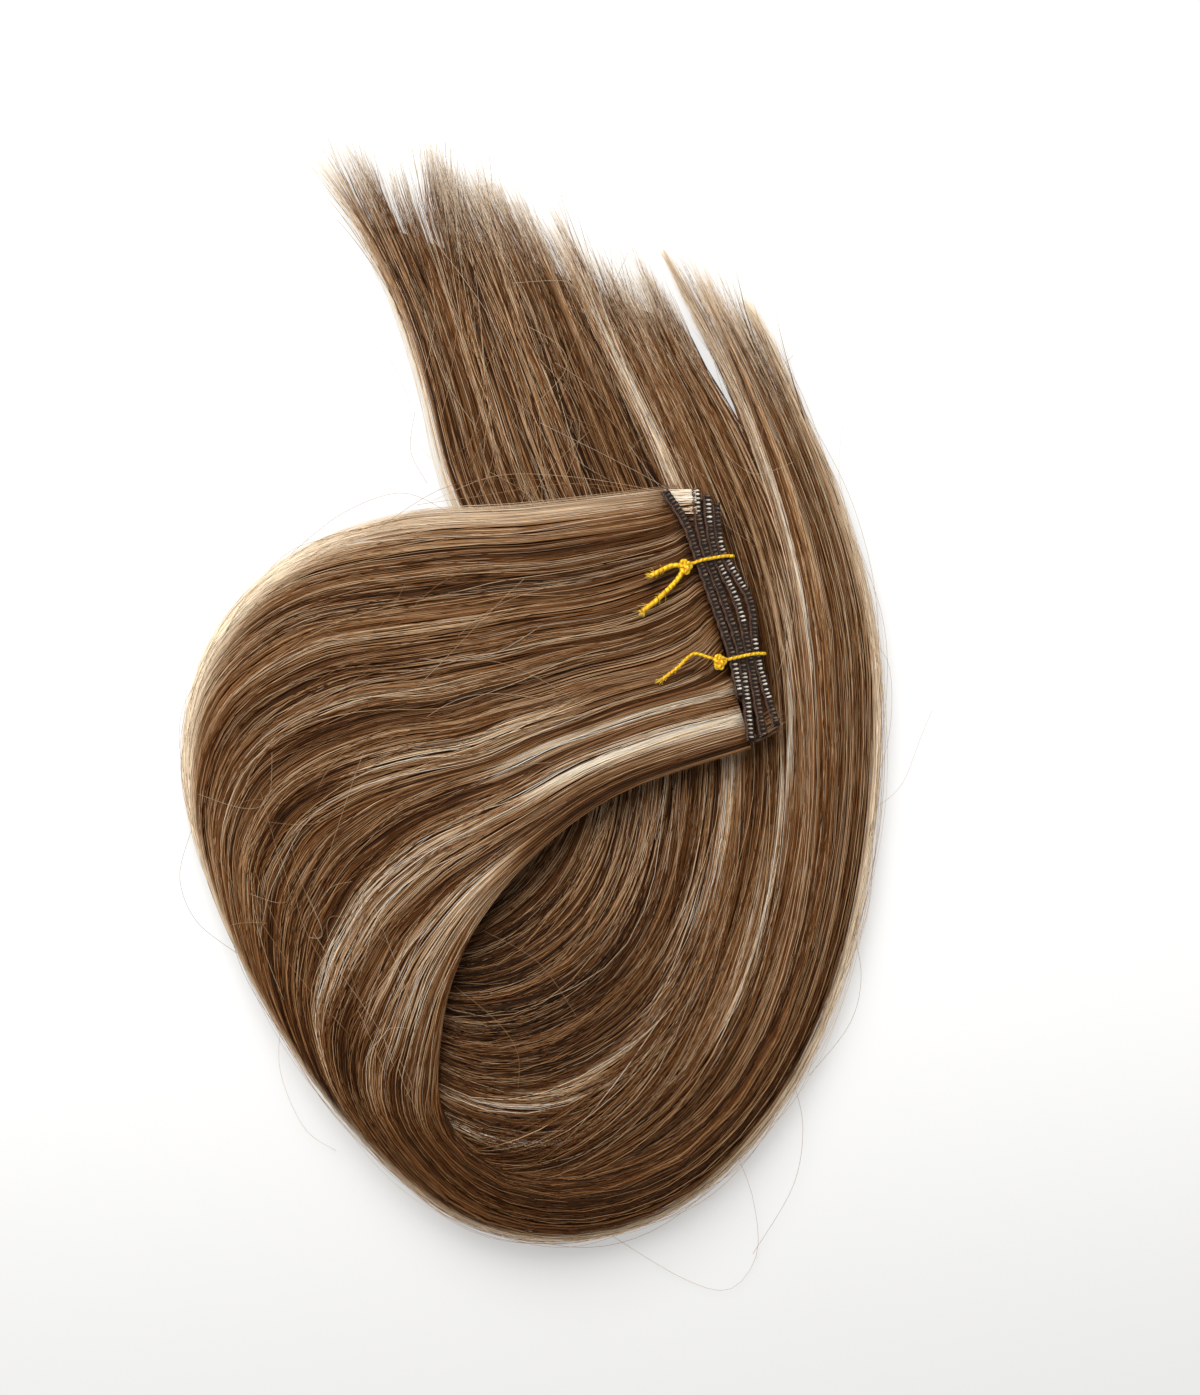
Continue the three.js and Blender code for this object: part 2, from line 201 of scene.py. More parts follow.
def strands_object(name, paths, radii, tone, pale=0.0):
    """Strands of hair as three-sided tubes, one for each path, closed at both ends."""
    count, steps, _ = paths.shape
    heading = np.gradient(paths, axis=1)
    heading /= np.linalg.norm(heading, axis=-1, keepdims=True) + 1e-9
    side = np.cross(heading, [0.0, 0.0, 1.0])
    side /= np.linalg.norm(side, axis=-1, keepdims=True) + 1e-9
    top = np.cross(side, heading)
    rings = []
    for angle in STRAND_CORNERS:
        rings.append(paths + radii[..., None] * (np.cos(angle) * side + np.sin(angle) * top))
    corners = np.stack(rings, axis=2)
    numbers = np.arange(count * steps * 3).reshape(count, steps, 3)
    turned = np.roll(numbers, -1, axis=2)
    quads = np.stack([numbers[:, :-1], numbers[:, 1:], turned[:, 1:], turned[:, :-1]], axis=-1)
    caps = np.concatenate([numbers[:, 0], numbers[:, -1, ::-1]])
    piece = mesh_object(name, corners.reshape(-1, 3), quads, caps, STRAND_FINISH)
    colours = hair_colours(tone, pale)
    colour_corners(piece, np.repeat(colours.reshape(-1, 3), 3, axis=0))
    lengthwise = np.broadcast_to(np.linspace(*MAP_RANGE, steps)[None, :, None], (count, steps, 3))
    own_row = (np.arange(count)[:, None, None] + MAP_ROWS) / count
    own_row = np.broadcast_to(own_row, (count, steps, 3))
    lay_map(piece, "OFBake", np.stack([lengthwise, own_row], axis=-1).reshape(-1, 2))
    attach(piece, "root")


DRIFT_WEIGHTS = (0.6, 0.4)


def drift(random, count, place, slow, fast):
    """A gentle random wave along each strand, between about -1 and 1; speeds are waves for each row."""
    total = np.zeros(np.broadcast_shapes((count, 1), place.shape))
    for weight in DRIFT_WEIGHTS:
        speed = random.uniform(slow, fast, (count, 1))
        phase = random.uniform(0, 2 * np.pi, (count, 1))
        total = total + weight * np.sin(2 * np.pi * speed * place + phase)
    return total


STRAY_SHARE = 0.2
STRAY_WANDER = 0.07  # radians round the fall that a stray strand wanders
COMBED_WANDER = 0.012  # and that any other strand, or a whole lock, does
STRAY_LIFT = 0.35
STRAND_LIFT = 0.22  # millimetres that a strand rises and sinks along its way
LOCK_CROWN = 0.35  # millimetres that the middle of a lock stands above its sides
LOCK_HUMP = 0.25  # millimetres that a whole lock rises and sinks
LOCK_PINCH = 0.2  # share by which locks narrow along their way
EDGE_LIFT = (-1.6, 1.3)  # how far strands stand in or out at the two edges of a fall
EDGE_REACH = 0.35  # and how far from an edge they do, as the sine of the turn
LOCK_SPLAY = 0.8  # millimetres that locks part at the tips
STRAND_SPLAY = 1.2
FADE_LENGTH = (3, 17)  # millimetres over which a strand is painted pale at its tip: painted light of the white surface shining through the thinning hair
STRAND_RADIUS = (0.06, 0.115)
TIP_RADIUS = 0.35  # share of the radius that is left at the tip
LIGHT_SHARE = 0.3
LIGHT_RADIUS = 0.8  # light strands have this share of the others' radius
LIGHT_TONE = (0.18, 0.55)  # and are this much lighter on the hair scale
OWN_TONE = (-0.03, 0.14)  # mean and spread of what sets any strand off from the rest
LOCK_TONE = 0.05
DRIFT_TONE = 0.04
STREAK_TONE = 0.1
TONE_LIMITS = (-0.34, 0.42)
STREAK_SPACINGS = (0.012, 0.03, 0.1)  # radians between streaks, from the finest to the broadest
STREAK_TURNS = (-1.0, 7.0)  # the turns of all strands lie between these
STREAK_CHANGE = 1.1  # how fast streaks change from row to row
STREAK_SUM = 2.1  # brings the sum of all streaks back to about 1


def streaks(random, turn, place):
    """Streaks a few millimetres wide, lighter and darker than the rest, that come and go along a fall."""
    total = np.zeros(place.shape)
    for spacing in STREAK_SPACINGS:
        spots = np.arange(*STREAK_TURNS, spacing)
        for part in range(3):
            own = np.interp(turn, spots, random.normal(0, 1, len(spots)))
            total = total + own * np.cos(STREAK_CHANGE * place + 2 * np.pi * part / 3)
    return total / STREAK_SUM


class Comb:
    """Strands gathered into locks of uneven size. A strand is known by the turn at which it leaves the
    track, locks sway as one, and about every fifth strand strays across its neighbours."""

    def __init__(self, seed, turns, locks, place):
        random = np.random.default_rng(seed)
        count = len(turns)
        edges = np.sort(random.uniform(turns.min(), turns.max(), locks - 1))
        bounds = np.concatenate([[turns.min()], edges, [turns.max()]])
        lock = np.searchsorted(edges, turns)
        centre = 0.5 * (bounds[lock] + bounds[lock + 1])
        half = np.maximum(0.5 * (bounds[lock + 1] - bounds[lock]), 1e-4)
        offset = (turns - centre) / half
        # Four numbers for a lock: its splay and tone, where it is pinched, its hump and where that lies
        mood = random.uniform(-1, 1, (locks, 4))[lock]
        stray = random.uniform(0, 1, count) < STRAY_SHARE
        rows = np.linspace(0, 22, 441)
        lock_drift = drift(random, locks, rows[None, :], 0.05, 0.2)
        sway = np.stack([np.interp(p, rows, lock_drift[k]) for k, p in zip(lock, place)])
        pinch = (1 - LOCK_PINCH) + LOCK_PINCH * np.cos(2 * np.pi * (0.15 * place + mood[:, 1:2]))
        wander = np.where(stray, STRAY_WANDER, COMBED_WANDER)[:, None]
        wander = wander * drift(random, count, place, 0.08, 0.35)
        self.turn = centre[:, None] + (offset * half)[:, None] * pinch + COMBED_WANDER * sway + wander
        crown = LOCK_CROWN * (1 - offset ** 2)[:, None]
        hump = LOCK_HUMP * mood[:, 2:3] * np.cos(0.9 * place + 3 * mood[:, 3:4])
        above = np.where(stray, STRAY_LIFT, 0.0)[:, None]
        self.lift = crown + hump + above + STRAND_LIFT * drift(random, count, place, 0.1, 0.4)
        edge = 1 - smooth_step(0, EDGE_REACH, np.sin(np.clip(turns % np.pi, 0, np.pi)))
        self.lift = self.lift + edge[:, None] * random.uniform(*EDGE_LIFT, count)[:, None]
        self.splay = LOCK_SPLAY * mood[:, 0] + random.normal(0, STRAND_SPLAY, count)
        self.fade = random.uniform(*FADE_LENGTH, count)
        light = random.uniform(0, 1, count) < LIGHT_SHARE
        self.radius = random.uniform(*STRAND_RADIUS, count) * np.where(light, LIGHT_RADIUS, 1.0)
        own = random.normal(*OWN_TONE, count) + np.where(light, random.uniform(*LIGHT_TONE, count), 0)
        self.tone = own[:, None] + LOCK_TONE * mood[:, 0:1]
        self.tone = self.tone + DRIFT_TONE * drift(random, count, place, 0.2, 0.8)
        self.tone = np.clip(self.tone + STREAK_TONE * streaks(random, self.turn, place), *TONE_LIMITS)

    def radii(self, to_tip, run):
        """Radii of the strands, which thin out over the last run before their tips."""
        return self.radius[:, None] * (TIP_RADIUS + (1 - TIP_RADIUS) * smooth_step(0, run, to_tip))

    def fading(self, to_tip):
        """How far the strands have faded: 0 along them, rising to 1 at their tips."""
        return 1 - smooth_step(0, self.fade[:, None], to_tip)


def new_material(name):
    """A new material with its nodes, its links and its shader."""
    material = bpy.data.materials.new(name)
    material.use_nodes = True
    nodes = material.node_tree.nodes
    return material, nodes, material.node_tree.links, nodes["Principled BSDF"]


def painted_colour_shader(nodes, links, shader):
    """The shader takes the colours that are painted on a piece: their own colours, and painted light and
    shade where a piece has them.
    """
    colour_with_painted_light = nodes.new("ShaderNodeVertexColor")
    colour_with_painted_light.layer_name = "colour_with_painted_light"
    links.new(colour_with_painted_light.outputs["Color"], shader.inputs["Base Color"])


def noise_node(nodes, scale, detail):
    """A grain of random blots."""
    grain = nodes.new("ShaderNodeTexNoise")
    grain.inputs["Scale"].default_value = scale
    grain.inputs["Detail"].default_value = detail
    return grain


def vary_gloss(nodes, links, shader, grain, low, high):
    """Roughness that follows the grain between two limits."""
    gloss = nodes.new("ShaderNodeMapRange")
    gloss.inputs["To Min"].default_value = low
    gloss.inputs["To Max"].default_value = high
    links.new(grain.outputs["Fac"], gloss.inputs["Value"])
    links.new(gloss.outputs["Result"], shader.inputs["Roughness"])


def raise_grain(nodes, links, shader, grain, strength, height):
    """A surface that the grain raises by up to the given height in metres."""
    bump = nodes.new("ShaderNodeBump")
    bump.inputs["Strength"].default_value = strength
    bump.inputs["Distance"].default_value = height
    links.new(grain.outputs["Fac"], bump.inputs["Height"])
    links.new(bump.outputs["Normal"], shader.inputs["Normal"])


def hair_material(name):
    """Hair dyed strand by strand, with painted light at its pale rims and tips and painted shadows: the
    colour is painted on the strands, the gloss varies a little.
    """
    material, nodes, links, shader = new_material(name)
    shader.inputs["Specular IOR Level"].default_value = 0.22
    shader.inputs["Specular Tint"].default_value = (1.0, 0.84, 0.66, 1)
    painted_colour_shader(nodes, links, shader)
    vary_gloss(nodes, links, shader, noise_node(nodes, 60, 2), 0.34, 0.5)
    return material


def body_material(name, dark, light):
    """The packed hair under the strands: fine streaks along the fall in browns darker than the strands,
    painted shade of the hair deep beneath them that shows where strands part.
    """
    material, nodes, links, shader = new_material(name)
    shader.inputs["Roughness"].default_value = 0.6
    shader.inputs["Specular IOR Level"].default_value = 0.08
    flow = nodes.new("ShaderNodeUVMap")
    flow.uv_map = "Flow"
    stretch = nodes.new("ShaderNodeMapping")
    stretch.inputs["Scale"].default_value = (6, 900, 1)
    grain = noise_node(nodes, 1.0, 4)
    shades = nodes.new("ShaderNodeValToRGB")
    shades.color_ramp.elements[0].position = 0.35
    shades.color_ramp.elements[0].color = (*linear(dark), 1)
    shades.color_ramp.elements[1].position = 0.7
    shades.color_ramp.elements[1].color = (*linear(light), 1)
    links.new(flow.outputs["UV"], stretch.inputs["Vector"])
    links.new(stretch.outputs["Vector"], grain.inputs["Vector"])
    links.new(grain.outputs["Fac"], shades.inputs["Fac"])
    links.new(shades.outputs["Color"], shader.inputs["Base Color"])
    raise_grain(nodes, links, shader, grain, 0.6, 0.0004)
    return material


BODY_RINGS = 110
BODY_SIDES = 60
BODY_INSET = 0.5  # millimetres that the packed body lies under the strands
BODY_LOWEST = 0.05
BODY_THINNING = 0.75  # share of its height that it loses over its last rows
BODY_THIN_ROWS = 1.2


def fall_body(name, fall, edge_inset, last_rows):
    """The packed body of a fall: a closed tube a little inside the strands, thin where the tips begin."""
    angles = np.linspace(0, 2 * np.pi, BODY_SIDES + 1)[:-1]
    share, turn = np.meshgrid(np.linspace(0, 1, BODY_RINGS), angles, indexing="ij")
    last = np.interp((1 - np.cos(turn)) / 2, *last_rows.T)
    place = share * last
    points, _, width = fall_points(fall, place, turn, np.full(place.shape, -BODY_INSET))
    row = along(fall, place)
    inward = (row[..., 2:4] - row[..., 0:2]) / width[..., None]
    drawn_in = np.interp(place, *edge_inset.T) * np.cos(turn) * smooth_step(0.2, 1, place)
    points[..., 0:2] += inward * drawn_in[..., None]
    points[..., 2] = np.maximum(points[..., 2], BODY_LOWEST)
    points[..., 2] *= 1 - BODY_THINNING * smooth_step(last - BODY_THIN_ROWS, last, place)
    rows, around = place.shape
    numbers = np.arange(rows * around).reshape(rows, around)
    turned = np.roll(numbers, -1, axis=1)
    quads = np.stack([numbers[:-1], turned[:-1], turned[1:], numbers[1:]], axis=-1)
    corners = points.reshape(-1, 3)
    first = len(corners)
    corners = np.concatenate([corners, points[0].mean(axis=0)[None], points[-1].mean(axis=0)[None]])
    start = np.stack([np.full(around, first), turned[0], numbers[0]], axis=-1)
    end = np.stack([np.full(around, first + 1), numbers[-1], turned[-1]], axis=-1)
    piece = mesh_object(name, corners, quads, np.concatenate([start, end]), BODY_FINISH)
    combed = turn - np.radians(row[..., 7])
    flow = np.stack([share, combed / (2 * np.pi)], axis=-1).reshape(-1, 2)
    lay_map(piece, "Flow", np.concatenate([flow, flow[:1], flow[-1:]]))
    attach(piece, "root")
    return piece


BAND_FADE_IN = 0.7  # rows over which a band begins and ends
BAND_FADE_OUT = 0.9


def banded(bands, across, place):
    """The tone that the bands add at each point of the strands."""
    total = np.zeros(place.shape)
    for first, last, middle_first, middle_last, half, tone in bands:
        middle = np.interp(place, [first, last], [middle_first, middle_last])
        shape = np.exp(-(((across - middle) / half) ** 2))
        fade_in = smooth_step(first, first + BAND_FADE_IN, place)
        fade_out = 1 - smooth_step(last - BAND_FADE_OUT, last, place)
        total = total + tone * shape * fade_in * fade_out
    return total


FRAY_ROWS = 1.6  # the tips begin to part this many rows before their end
FRAY_LIMIT = 1.2


def splayed(paths, place, finish, sideways):
    """Strands that part from their neighbours towards the tips, by their own distance sideways."""
    heading = np.gradient(paths[..., 0:2], axis=1)
    heading /= np.linalg.norm(heading, axis=-1, keepdims=True) + 1e-9
    aside = np.stack([-heading[..., 1], heading[..., 0]], axis=-1)
    share = np.clip((place - finish[:, None] + FRAY_ROWS) / FRAY_ROWS, 0, FRAY_LIMIT)
    paths[..., 0:2] += aside * (sideways[:, None] * share ** 2)[..., None]
    return paths


def clumps(seed, spread, groups):
    """Tips gather in pointed clumps: how far each strand is off the middle of its clump, and how much
    longer than usual that clump is."""
    random = np.random.default_rng(seed)
    middles = np.sort(random.uniform(0, 1, groups))
    lengths = random.normal(0, 1, groups)
    nearest = np.abs(spread[:, None] - middles).argmin(axis=1)
    return middles[nearest] - spread, lengths[nearest]


BODY_FINISH = body_material("packed brown hair in painted shade", (30, 15, 6), (98, 60, 30))
STRAND_FINISH = hair_material("highlighted hair strands")

# Row at which the packed body ends, from the outer edge of the fall to the inner one
LOWER_BODY_END = np.array([
    [0, 16.3], [0.27, 16.8], [0.45, 17.2], [0.6, 17.4], [0.69, 17.4], [0.73, 17.0], [0.76, 16.4],
    [0.81, 16.4], [0.84, 17.0], [0.9, 17.6], [1, 17.7],
])
# How far its edges lie inside the strands: row and distance
LOWER_INSET = np.array([[0, 2.4], [18, 2.4]])
lower_body = fall_body("hair_lower_body", LOWER_FALL, LOWER_INSET, LOWER_BODY_END)
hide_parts("hair")

LOWER_STRANDS = 1050
LOWER_LOCKS = 110
LOWER_STEPS = 31
LOWER_EMERGE = (4.6, 5.3)  # rows between which its strands begin, out of sight under the upper fall
LOWER_PAST_CUT = 0.25  # rows that the longest strands reach past the line of the cut
CUT_ROWS = 0.65  # rows over which the ends are cut unevenly
CLUMPS = 46
CLUMP_SEED = 5
CLUMP_LENGTH = 0.14  # rows by which clumps differ in length
CLUMP_POINT = 9.0  # rows that a strand would be shorter if it were a whole fall's width off its clump
TIP_WIDTH = 42.0  # width of a fall at its tips, as far as clumps draw it together
LOWEST = 0.15  # no strand lies lower than this
EDGE_TURN = 0.03  # strands keep this far round from the edges of a fall
ACROSS_LIMITS = (0.0005, 0.9995)
THIN_RUN = 22.0  # millimetres over which strands thin out to their tips
TIP_PALE = 0.8
LOWER_RIM_WIDTH = 3.6  # the inner edge is painted pale over this width, from about row 14 on: painted light of the white surface shining through the thin hair
LOWER_RIM_ROWS = (13.2, 14.6)
LOWER_RIM_PALE = 0.9
LOWER_CONTRAST = 1.25  # its strands differ this much more in tone than those of the upper fall
# Tone of the hair along the lower fall: row and tone
LOWER_TONE = np.array([[0, 0.2], [8, 0.235], [10, 0.29], [12, 0.34], [14, 0.26], [16, 0.27], [18, 0.3]])
# Blonde and dark bands in the lower fall: first and last row, middle across the fall at each of them,
# half width, tone added
LOWER_BANDS = [
    (5.5, 10.6, 0.165, 0.39, 0.026, 0.42),
    (9.7, 12.9, 0.38, 0.275, 0.03, 0.4),
    (12.0, 18.5, 0.28, 0.30, 0.026, 0.42),
    (6.0, 11.5, 0.12, 0.17, 0.014, 0.28),
    (9.2, 12.6, 0.125, 0.13, 0.008, 0.5),
    (11.6, 14.2, 0.13, 0.04, 0.008, 0.5),
    (13.0, 19.0, 0.97, 0.97, 0.020, 0.22),
    # The last two bands are painted shade: the inside of the loop that the upper fall shades, and a darker
    # strip beside its inner edge
    (4.0, 10.0, 0.62, 0.62, 0.300, -0.07),
    (5.0, 10.5, 0.05, 0.05, 0.050, -0.10),
]
# How far the tips lean out of line across the fall, which opens the notch between two groups of them
LOWER_LEAN = np.array([
    [0, 0.3], [0.06, 0.4], [0.15, 0.5], [0.3, 0.4], [0.45, 0], [0.55, -2], [0.66, -5], [0.74, -7.5],
    [0.787, -9], [0.793, -4], [0.86, -2], [0.93, 0.5], [1, 3],
])

# The notch, and the gap between the two falls, as places across the fall and how wide they reach
LOWER_NOTCH = (0.79, 0.03)
LOWER_GAP = (0.0, 0.045)
LOWER_GAP_ROWS = (15.0, 15.9)  # rows over which the gap opens
GAP_PULL = 1.1  # strands beside the gap between the falls are drawn in by this much at their tips
CALMING = 0.68  # share of their straying that strands right beside an opening lose


def near_opening(spread, opening):
    """1 for strands right beside an opening between tips, falling to 0 away from it."""
    middle, reach = opening
    return np.exp(-(((spread - middle) / reach) ** 2))


def calm(spread, openings):
    """How freely tips stray: fully, but much less beside an opening."""
    nearest = np.max([near_opening(spread, opening) for opening in openings], axis=0)
    return 1 - CALMING * nearest


def across_of(turn):
    """How far across a fall strands lie, kept just off its two edges."""
    return (1 - np.cos(np.clip(turn, EDGE_TURN, np.pi - EDGE_TURN))) / 2


random = np.random.default_rng(7)
spread = np.sort(random.uniform(0.004, 0.996, LOWER_STRANDS))
first_row = random.uniform(*LOWER_EMERGE, LOWER_STRANDS)
off_clump, clump_length = clumps(CLUMP_SEED, spread, CLUMPS)
finish = np.interp(spread, *LOWER_TIPS.T) + LOWER_PAST_CUT
finish = finish + CLUMP_LENGTH * clump_length - CLUMP_POINT * np.abs(off_clump)
finish = finish - CUT_ROWS * random.uniform(0, 1, LOWER_STRANDS) ** 2
place = first_row[:, None] + (finish - first_row)[:, None] * np.linspace(0, 1, LOWER_STEPS)
comb = Comb(8, np.arccos(1 - 2 * spread), LOWER_LOCKS, place)
across_fall = across_of(comb.turn)
turn = np.arccos(1 - 2 * np.clip(across_fall, *ACROSS_LIMITS))
pull = GAP_PULL * near_opening(spread, LOWER_GAP)[:, None] * smooth_step(*LOWER_GAP_ROWS, place)
paths, across, width = strand_points(LOWER_FALL, place, turn, comb.lift - pull)
gather = (comb.splay + TIP_WIDTH * off_clump) * calm(spread, [LOWER_NOTCH, LOWER_GAP])
gather = gather + np.interp(spread, *LOWER_LEAN.T)
paths = splayed(paths, place, finish, gather)
paths[..., 2] = np.maximum(paths[..., 2], LOWEST)
to_tip = (finish[:, None] - place) * TIP_ROW_SPACING
tone = np.interp(place, *LOWER_TONE.T) + LOWER_CONTRAST * comb.tone
tone = tone + banded(LOWER_BANDS, across_fall, place)
# The pale inner rim and the pale tips are painted light: the white surface shining through thin hair.
rim = (1 - smooth_step(0, LOWER_RIM_WIDTH, (1 - across) * width)) * smooth_step(*LOWER_RIM_ROWS, place)
pale = LOWER_RIM_PALE * rim + TIP_PALE * comb.fading(to_tip)
strands_object("hair_lower_strands", paths, comb.radii(to_tip, THIN_RUN), tone, pale)

# The upper fall is the hair from the top folds. It leaves the track in soft waves, widens to the left,
# turns over on itself in the narrow neck at the bottom and runs up the right hand side to its tips,
# so the strands that show after the neck are those that lay underneath before it.
UPPER_FALL = np.array([
    [37.0, 49.0, 54.5, -12.8, 13.0, 13.0, 4.0, 0],
    [0.0, 44.5, 22.5, -24.0, 12.0, 12.5, 6.5, -1],
    [-33.5, 42.0, 0.5, -40.0, 6.0, 11.0, 7.0, -5],
    [-62.8, 31.0, -13.0, -56.3, 1.0, 9.5, 7.0, -15],
    [-81.8, 8.0, -20.3, -73.8, 0.0, 8.5, 7.0, -26],
    [-86.8, -20.5, -23.0, -88.8, 0.0, 8.0, 7.5, -36],
    [-80.8, -47.5, -23.3, -98.3, 0.0, 6.5, 9.0, -48],
    [-67.0, -77.5, -21.6, -106.0, 0.0, 4.0, 11.0, -70],
    [-46.3, -107.5, -16.0, -113.3, 0.0, 1.5, 13.0, -103],
    [-18.8, -131.3, -4.0, -119.5, 0.0, 0.0, 13.5, -129],
    [11.3, -137.3, 15.0, -120.0, 0.0, 0.0, 12.0, -144],
    [40.0, -127.5, 37.5, -110.0, 0.0, 0.0, 10.0, -153],
    [63.8, -102.5, 53.3, -91.3, 0.0, 0.0, 8.5, -157],
    [78.8, -70.0, 63.8, -63.8, 0.0, 0.0, 7.5, -159],
    [86.4, -30.0, 68.8, -31.3, 0.0, 0.0, 7.0, -160],
    [87.0, 10.0, 67.8, 6.3, 0.0, 0.0, 6.5, -160],
    [79.3, 42.5, 63.0, 36.3, 0.0, 0.0, 6.0, -160],
    [67.0, 72.5, 53.3, 67.5, 0.0, 0.0, 5.0, -160],
    [55.5, 96.0, 38.4, 101.0, 0.0, 0.0, 4.0, -160],
])
# Row at which the tips are cut, from the outer edge of the fall to the inner one
UPPER_TIPS = np.array([[0, 17.9], [0.5, 18.0], [0.9, 18.2], [1, 18.1]])
# How far those tips lean out of line, in the same order
UPPER_LEAN = np.array([[0, 0], [0.6, 0], [0.85, 0.6], [1, 1.5]])
UPPER_GAP = (1.0, 0.14)
UPPER_GAP_ROWS = (16.6, 17.4)
UPPER_TONE = np.array([
    [0, 0.365], [5, 0.37], [6, 0.3], [7, 0.19], [8, 0.13], [10, 0.15], [12, 0.27], [14, 0.37], [16, 0.46],
    [18, 0.43],
])

UPPER_INSET = np.array([[0, 2.4], [6, 2.4], [8, 1.2], [18, 1.2]])
UPPER_BODY_SHORT = 1.3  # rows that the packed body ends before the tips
fall_body("hair_upper_body", UPPER_FALL, UPPER_INSET, UPPER_TIPS - [0, UPPER_BODY_SHORT])

# Bands of the hair round the fall at the track, 0 to 1 across the top and on to 2 back underneath:
# first and last row, middle at each of them, half width, tone added
UPPER_BANDS = [
    (-1.0, 2.2, 0.895, 0.895, 0.033, 0.46),
    (-1.0, 1.3, 0.9, 0.895, 0.055, 0.26),
    (0.4, 8.6, 0.895, 0.9, 0.034, 0.26),
    (2.2, 7.8, 0.878, 0.872, 0.009, 0.3),
    (-1.0, 2.6, 0.77, 0.8, 0.030, 0.46),
    (-1.0, 5.0, 0.83, 0.83, 0.018, -0.08),
    # Painted shade: this band darkens the hair along the inner edge by the track, where it lies in shadow
    (-1.0, 2.8, 0.985, 0.985, 0.04, -0.2),
    (2.8, 8.0, 0.942, 0.946, 0.014, -0.14),
    (1.6, 8.2, 0.984, 0.984, 0.015, 0.26),
    (1.0, 7.0, 0.27, 0.27, 0.030, 0.1),
    (2.0, 6.0, 0.365, 0.35, 0.016, -0.15),
    (1.5, 6.5, 0.43, 0.43, 0.030, 0.09),
    (1.0, 7.0, 0.52, 0.52, 0.020, -0.07),
    (0.8, 4.0, 0.61, 0.61, 0.045, 0.22),
    (0.0, 4.0, 0.03, 0.03, 0.030, 0.22),
    (14.6, 18.2, 1.19, 1.19, 0.045, 0.36),
]
# How pale the rim of the outer edge is painted, and how wide, row by row: painted light of the white
# surface shining through the thin hair there
UPPER_RIM = [0.3, 0.5, 0.75, 1, 1, 1, 0.75, 0.7, 0.7, 0.7, 0.75, 0.8, 0.9, 0.9, 0.9, 0.8, 0.7, 0.7, 0.7]
RIM_WIDTH = [4.0, 5.0, 6.0, 7.5, 8.0, 6.5, 4.0, 2.5, 2.2, 2.2, 2.4, 2.6, 2.8, 2.8, 2.8, 2.8, 2.6, 2.4, 2.4]
DROOP = 7.0  # the hair sinks this much towards the inner edge as it leaves the track
DROOP_RUN = 9.0
DROOP_END = (70, 190)  # millimetres from the track between which it comes back up
DROOP_ACROSS = (0.12, 0.64, 0.8)  # the droop is full between the first two places across, gone at the third
RIPPLE = 0.25  # height of a slow ripple in the same hair
RIPPLE_LENGTH = 52.0
SWAY = 0.5  # and of a quicker sway
WAVE_RADIUS = 36.0  # a wave of this height turns the hair by one radian
ROW_SPACING = 35.0
ROOT_SLANT = 3.5  # at the outer edge the roots start this much further along
ROOT_SHADE = 0.34  # hair is darker by this much where the track shades it
ROOT_SHADE_RUN = (-0.5, 3.2)
ROOT_SHADE_END = 0.74
KNOT_SHADOW_DEPTH = 0.5
# Line along which the upper row of the track grips the hair: y and x
ROOT_LINE = np.array([[-2.0, 50.8], [7.9, 49.0], [32.0, 40.7], [41.2, 37.4], [49.2, 32.2]])
# Painted shadows that the knots and their tails cast on the hair beside them: middle x and y, heading x and
# y, half length, half width
KNOT_SHADOWS = [(32.0, 26.6, 0.87, 0.49, 4.5, 0.9), (40.5, 4.4, 0.98, 0.2, 5.0, 0.7)]
UPPER_CLUMPS = 11
UPPER_CLUMP_SEED = 6
UPPER_CLUMP_POINT = 2.0
UPPER_CLUMP_PULL = 12.0  # millimetres by which the clumps draw the strands together
UPPER_SPLAY = 0.8
UPPER_PAST_CUT = 0.2
UPPER_CUT_ROWS = 0.8
OUT_OF_SIGHT = 100.0  # a strand that goes under counts as this far from its tip
UPPER_RIM_PALE = 1.05
EDGE_HOLD = 0.4  # strands at the inner edge turn over this much less than the others
EDGE_HOLD_TURNS = np.radians([150, 184])
HIDDEN_TURN = np.radians(-22)  # a strand that has turned this far under the outer edge is out of sight
RISING_TURN = np.radians(220)  # and one this far round past the inner edge isn't in sight yet


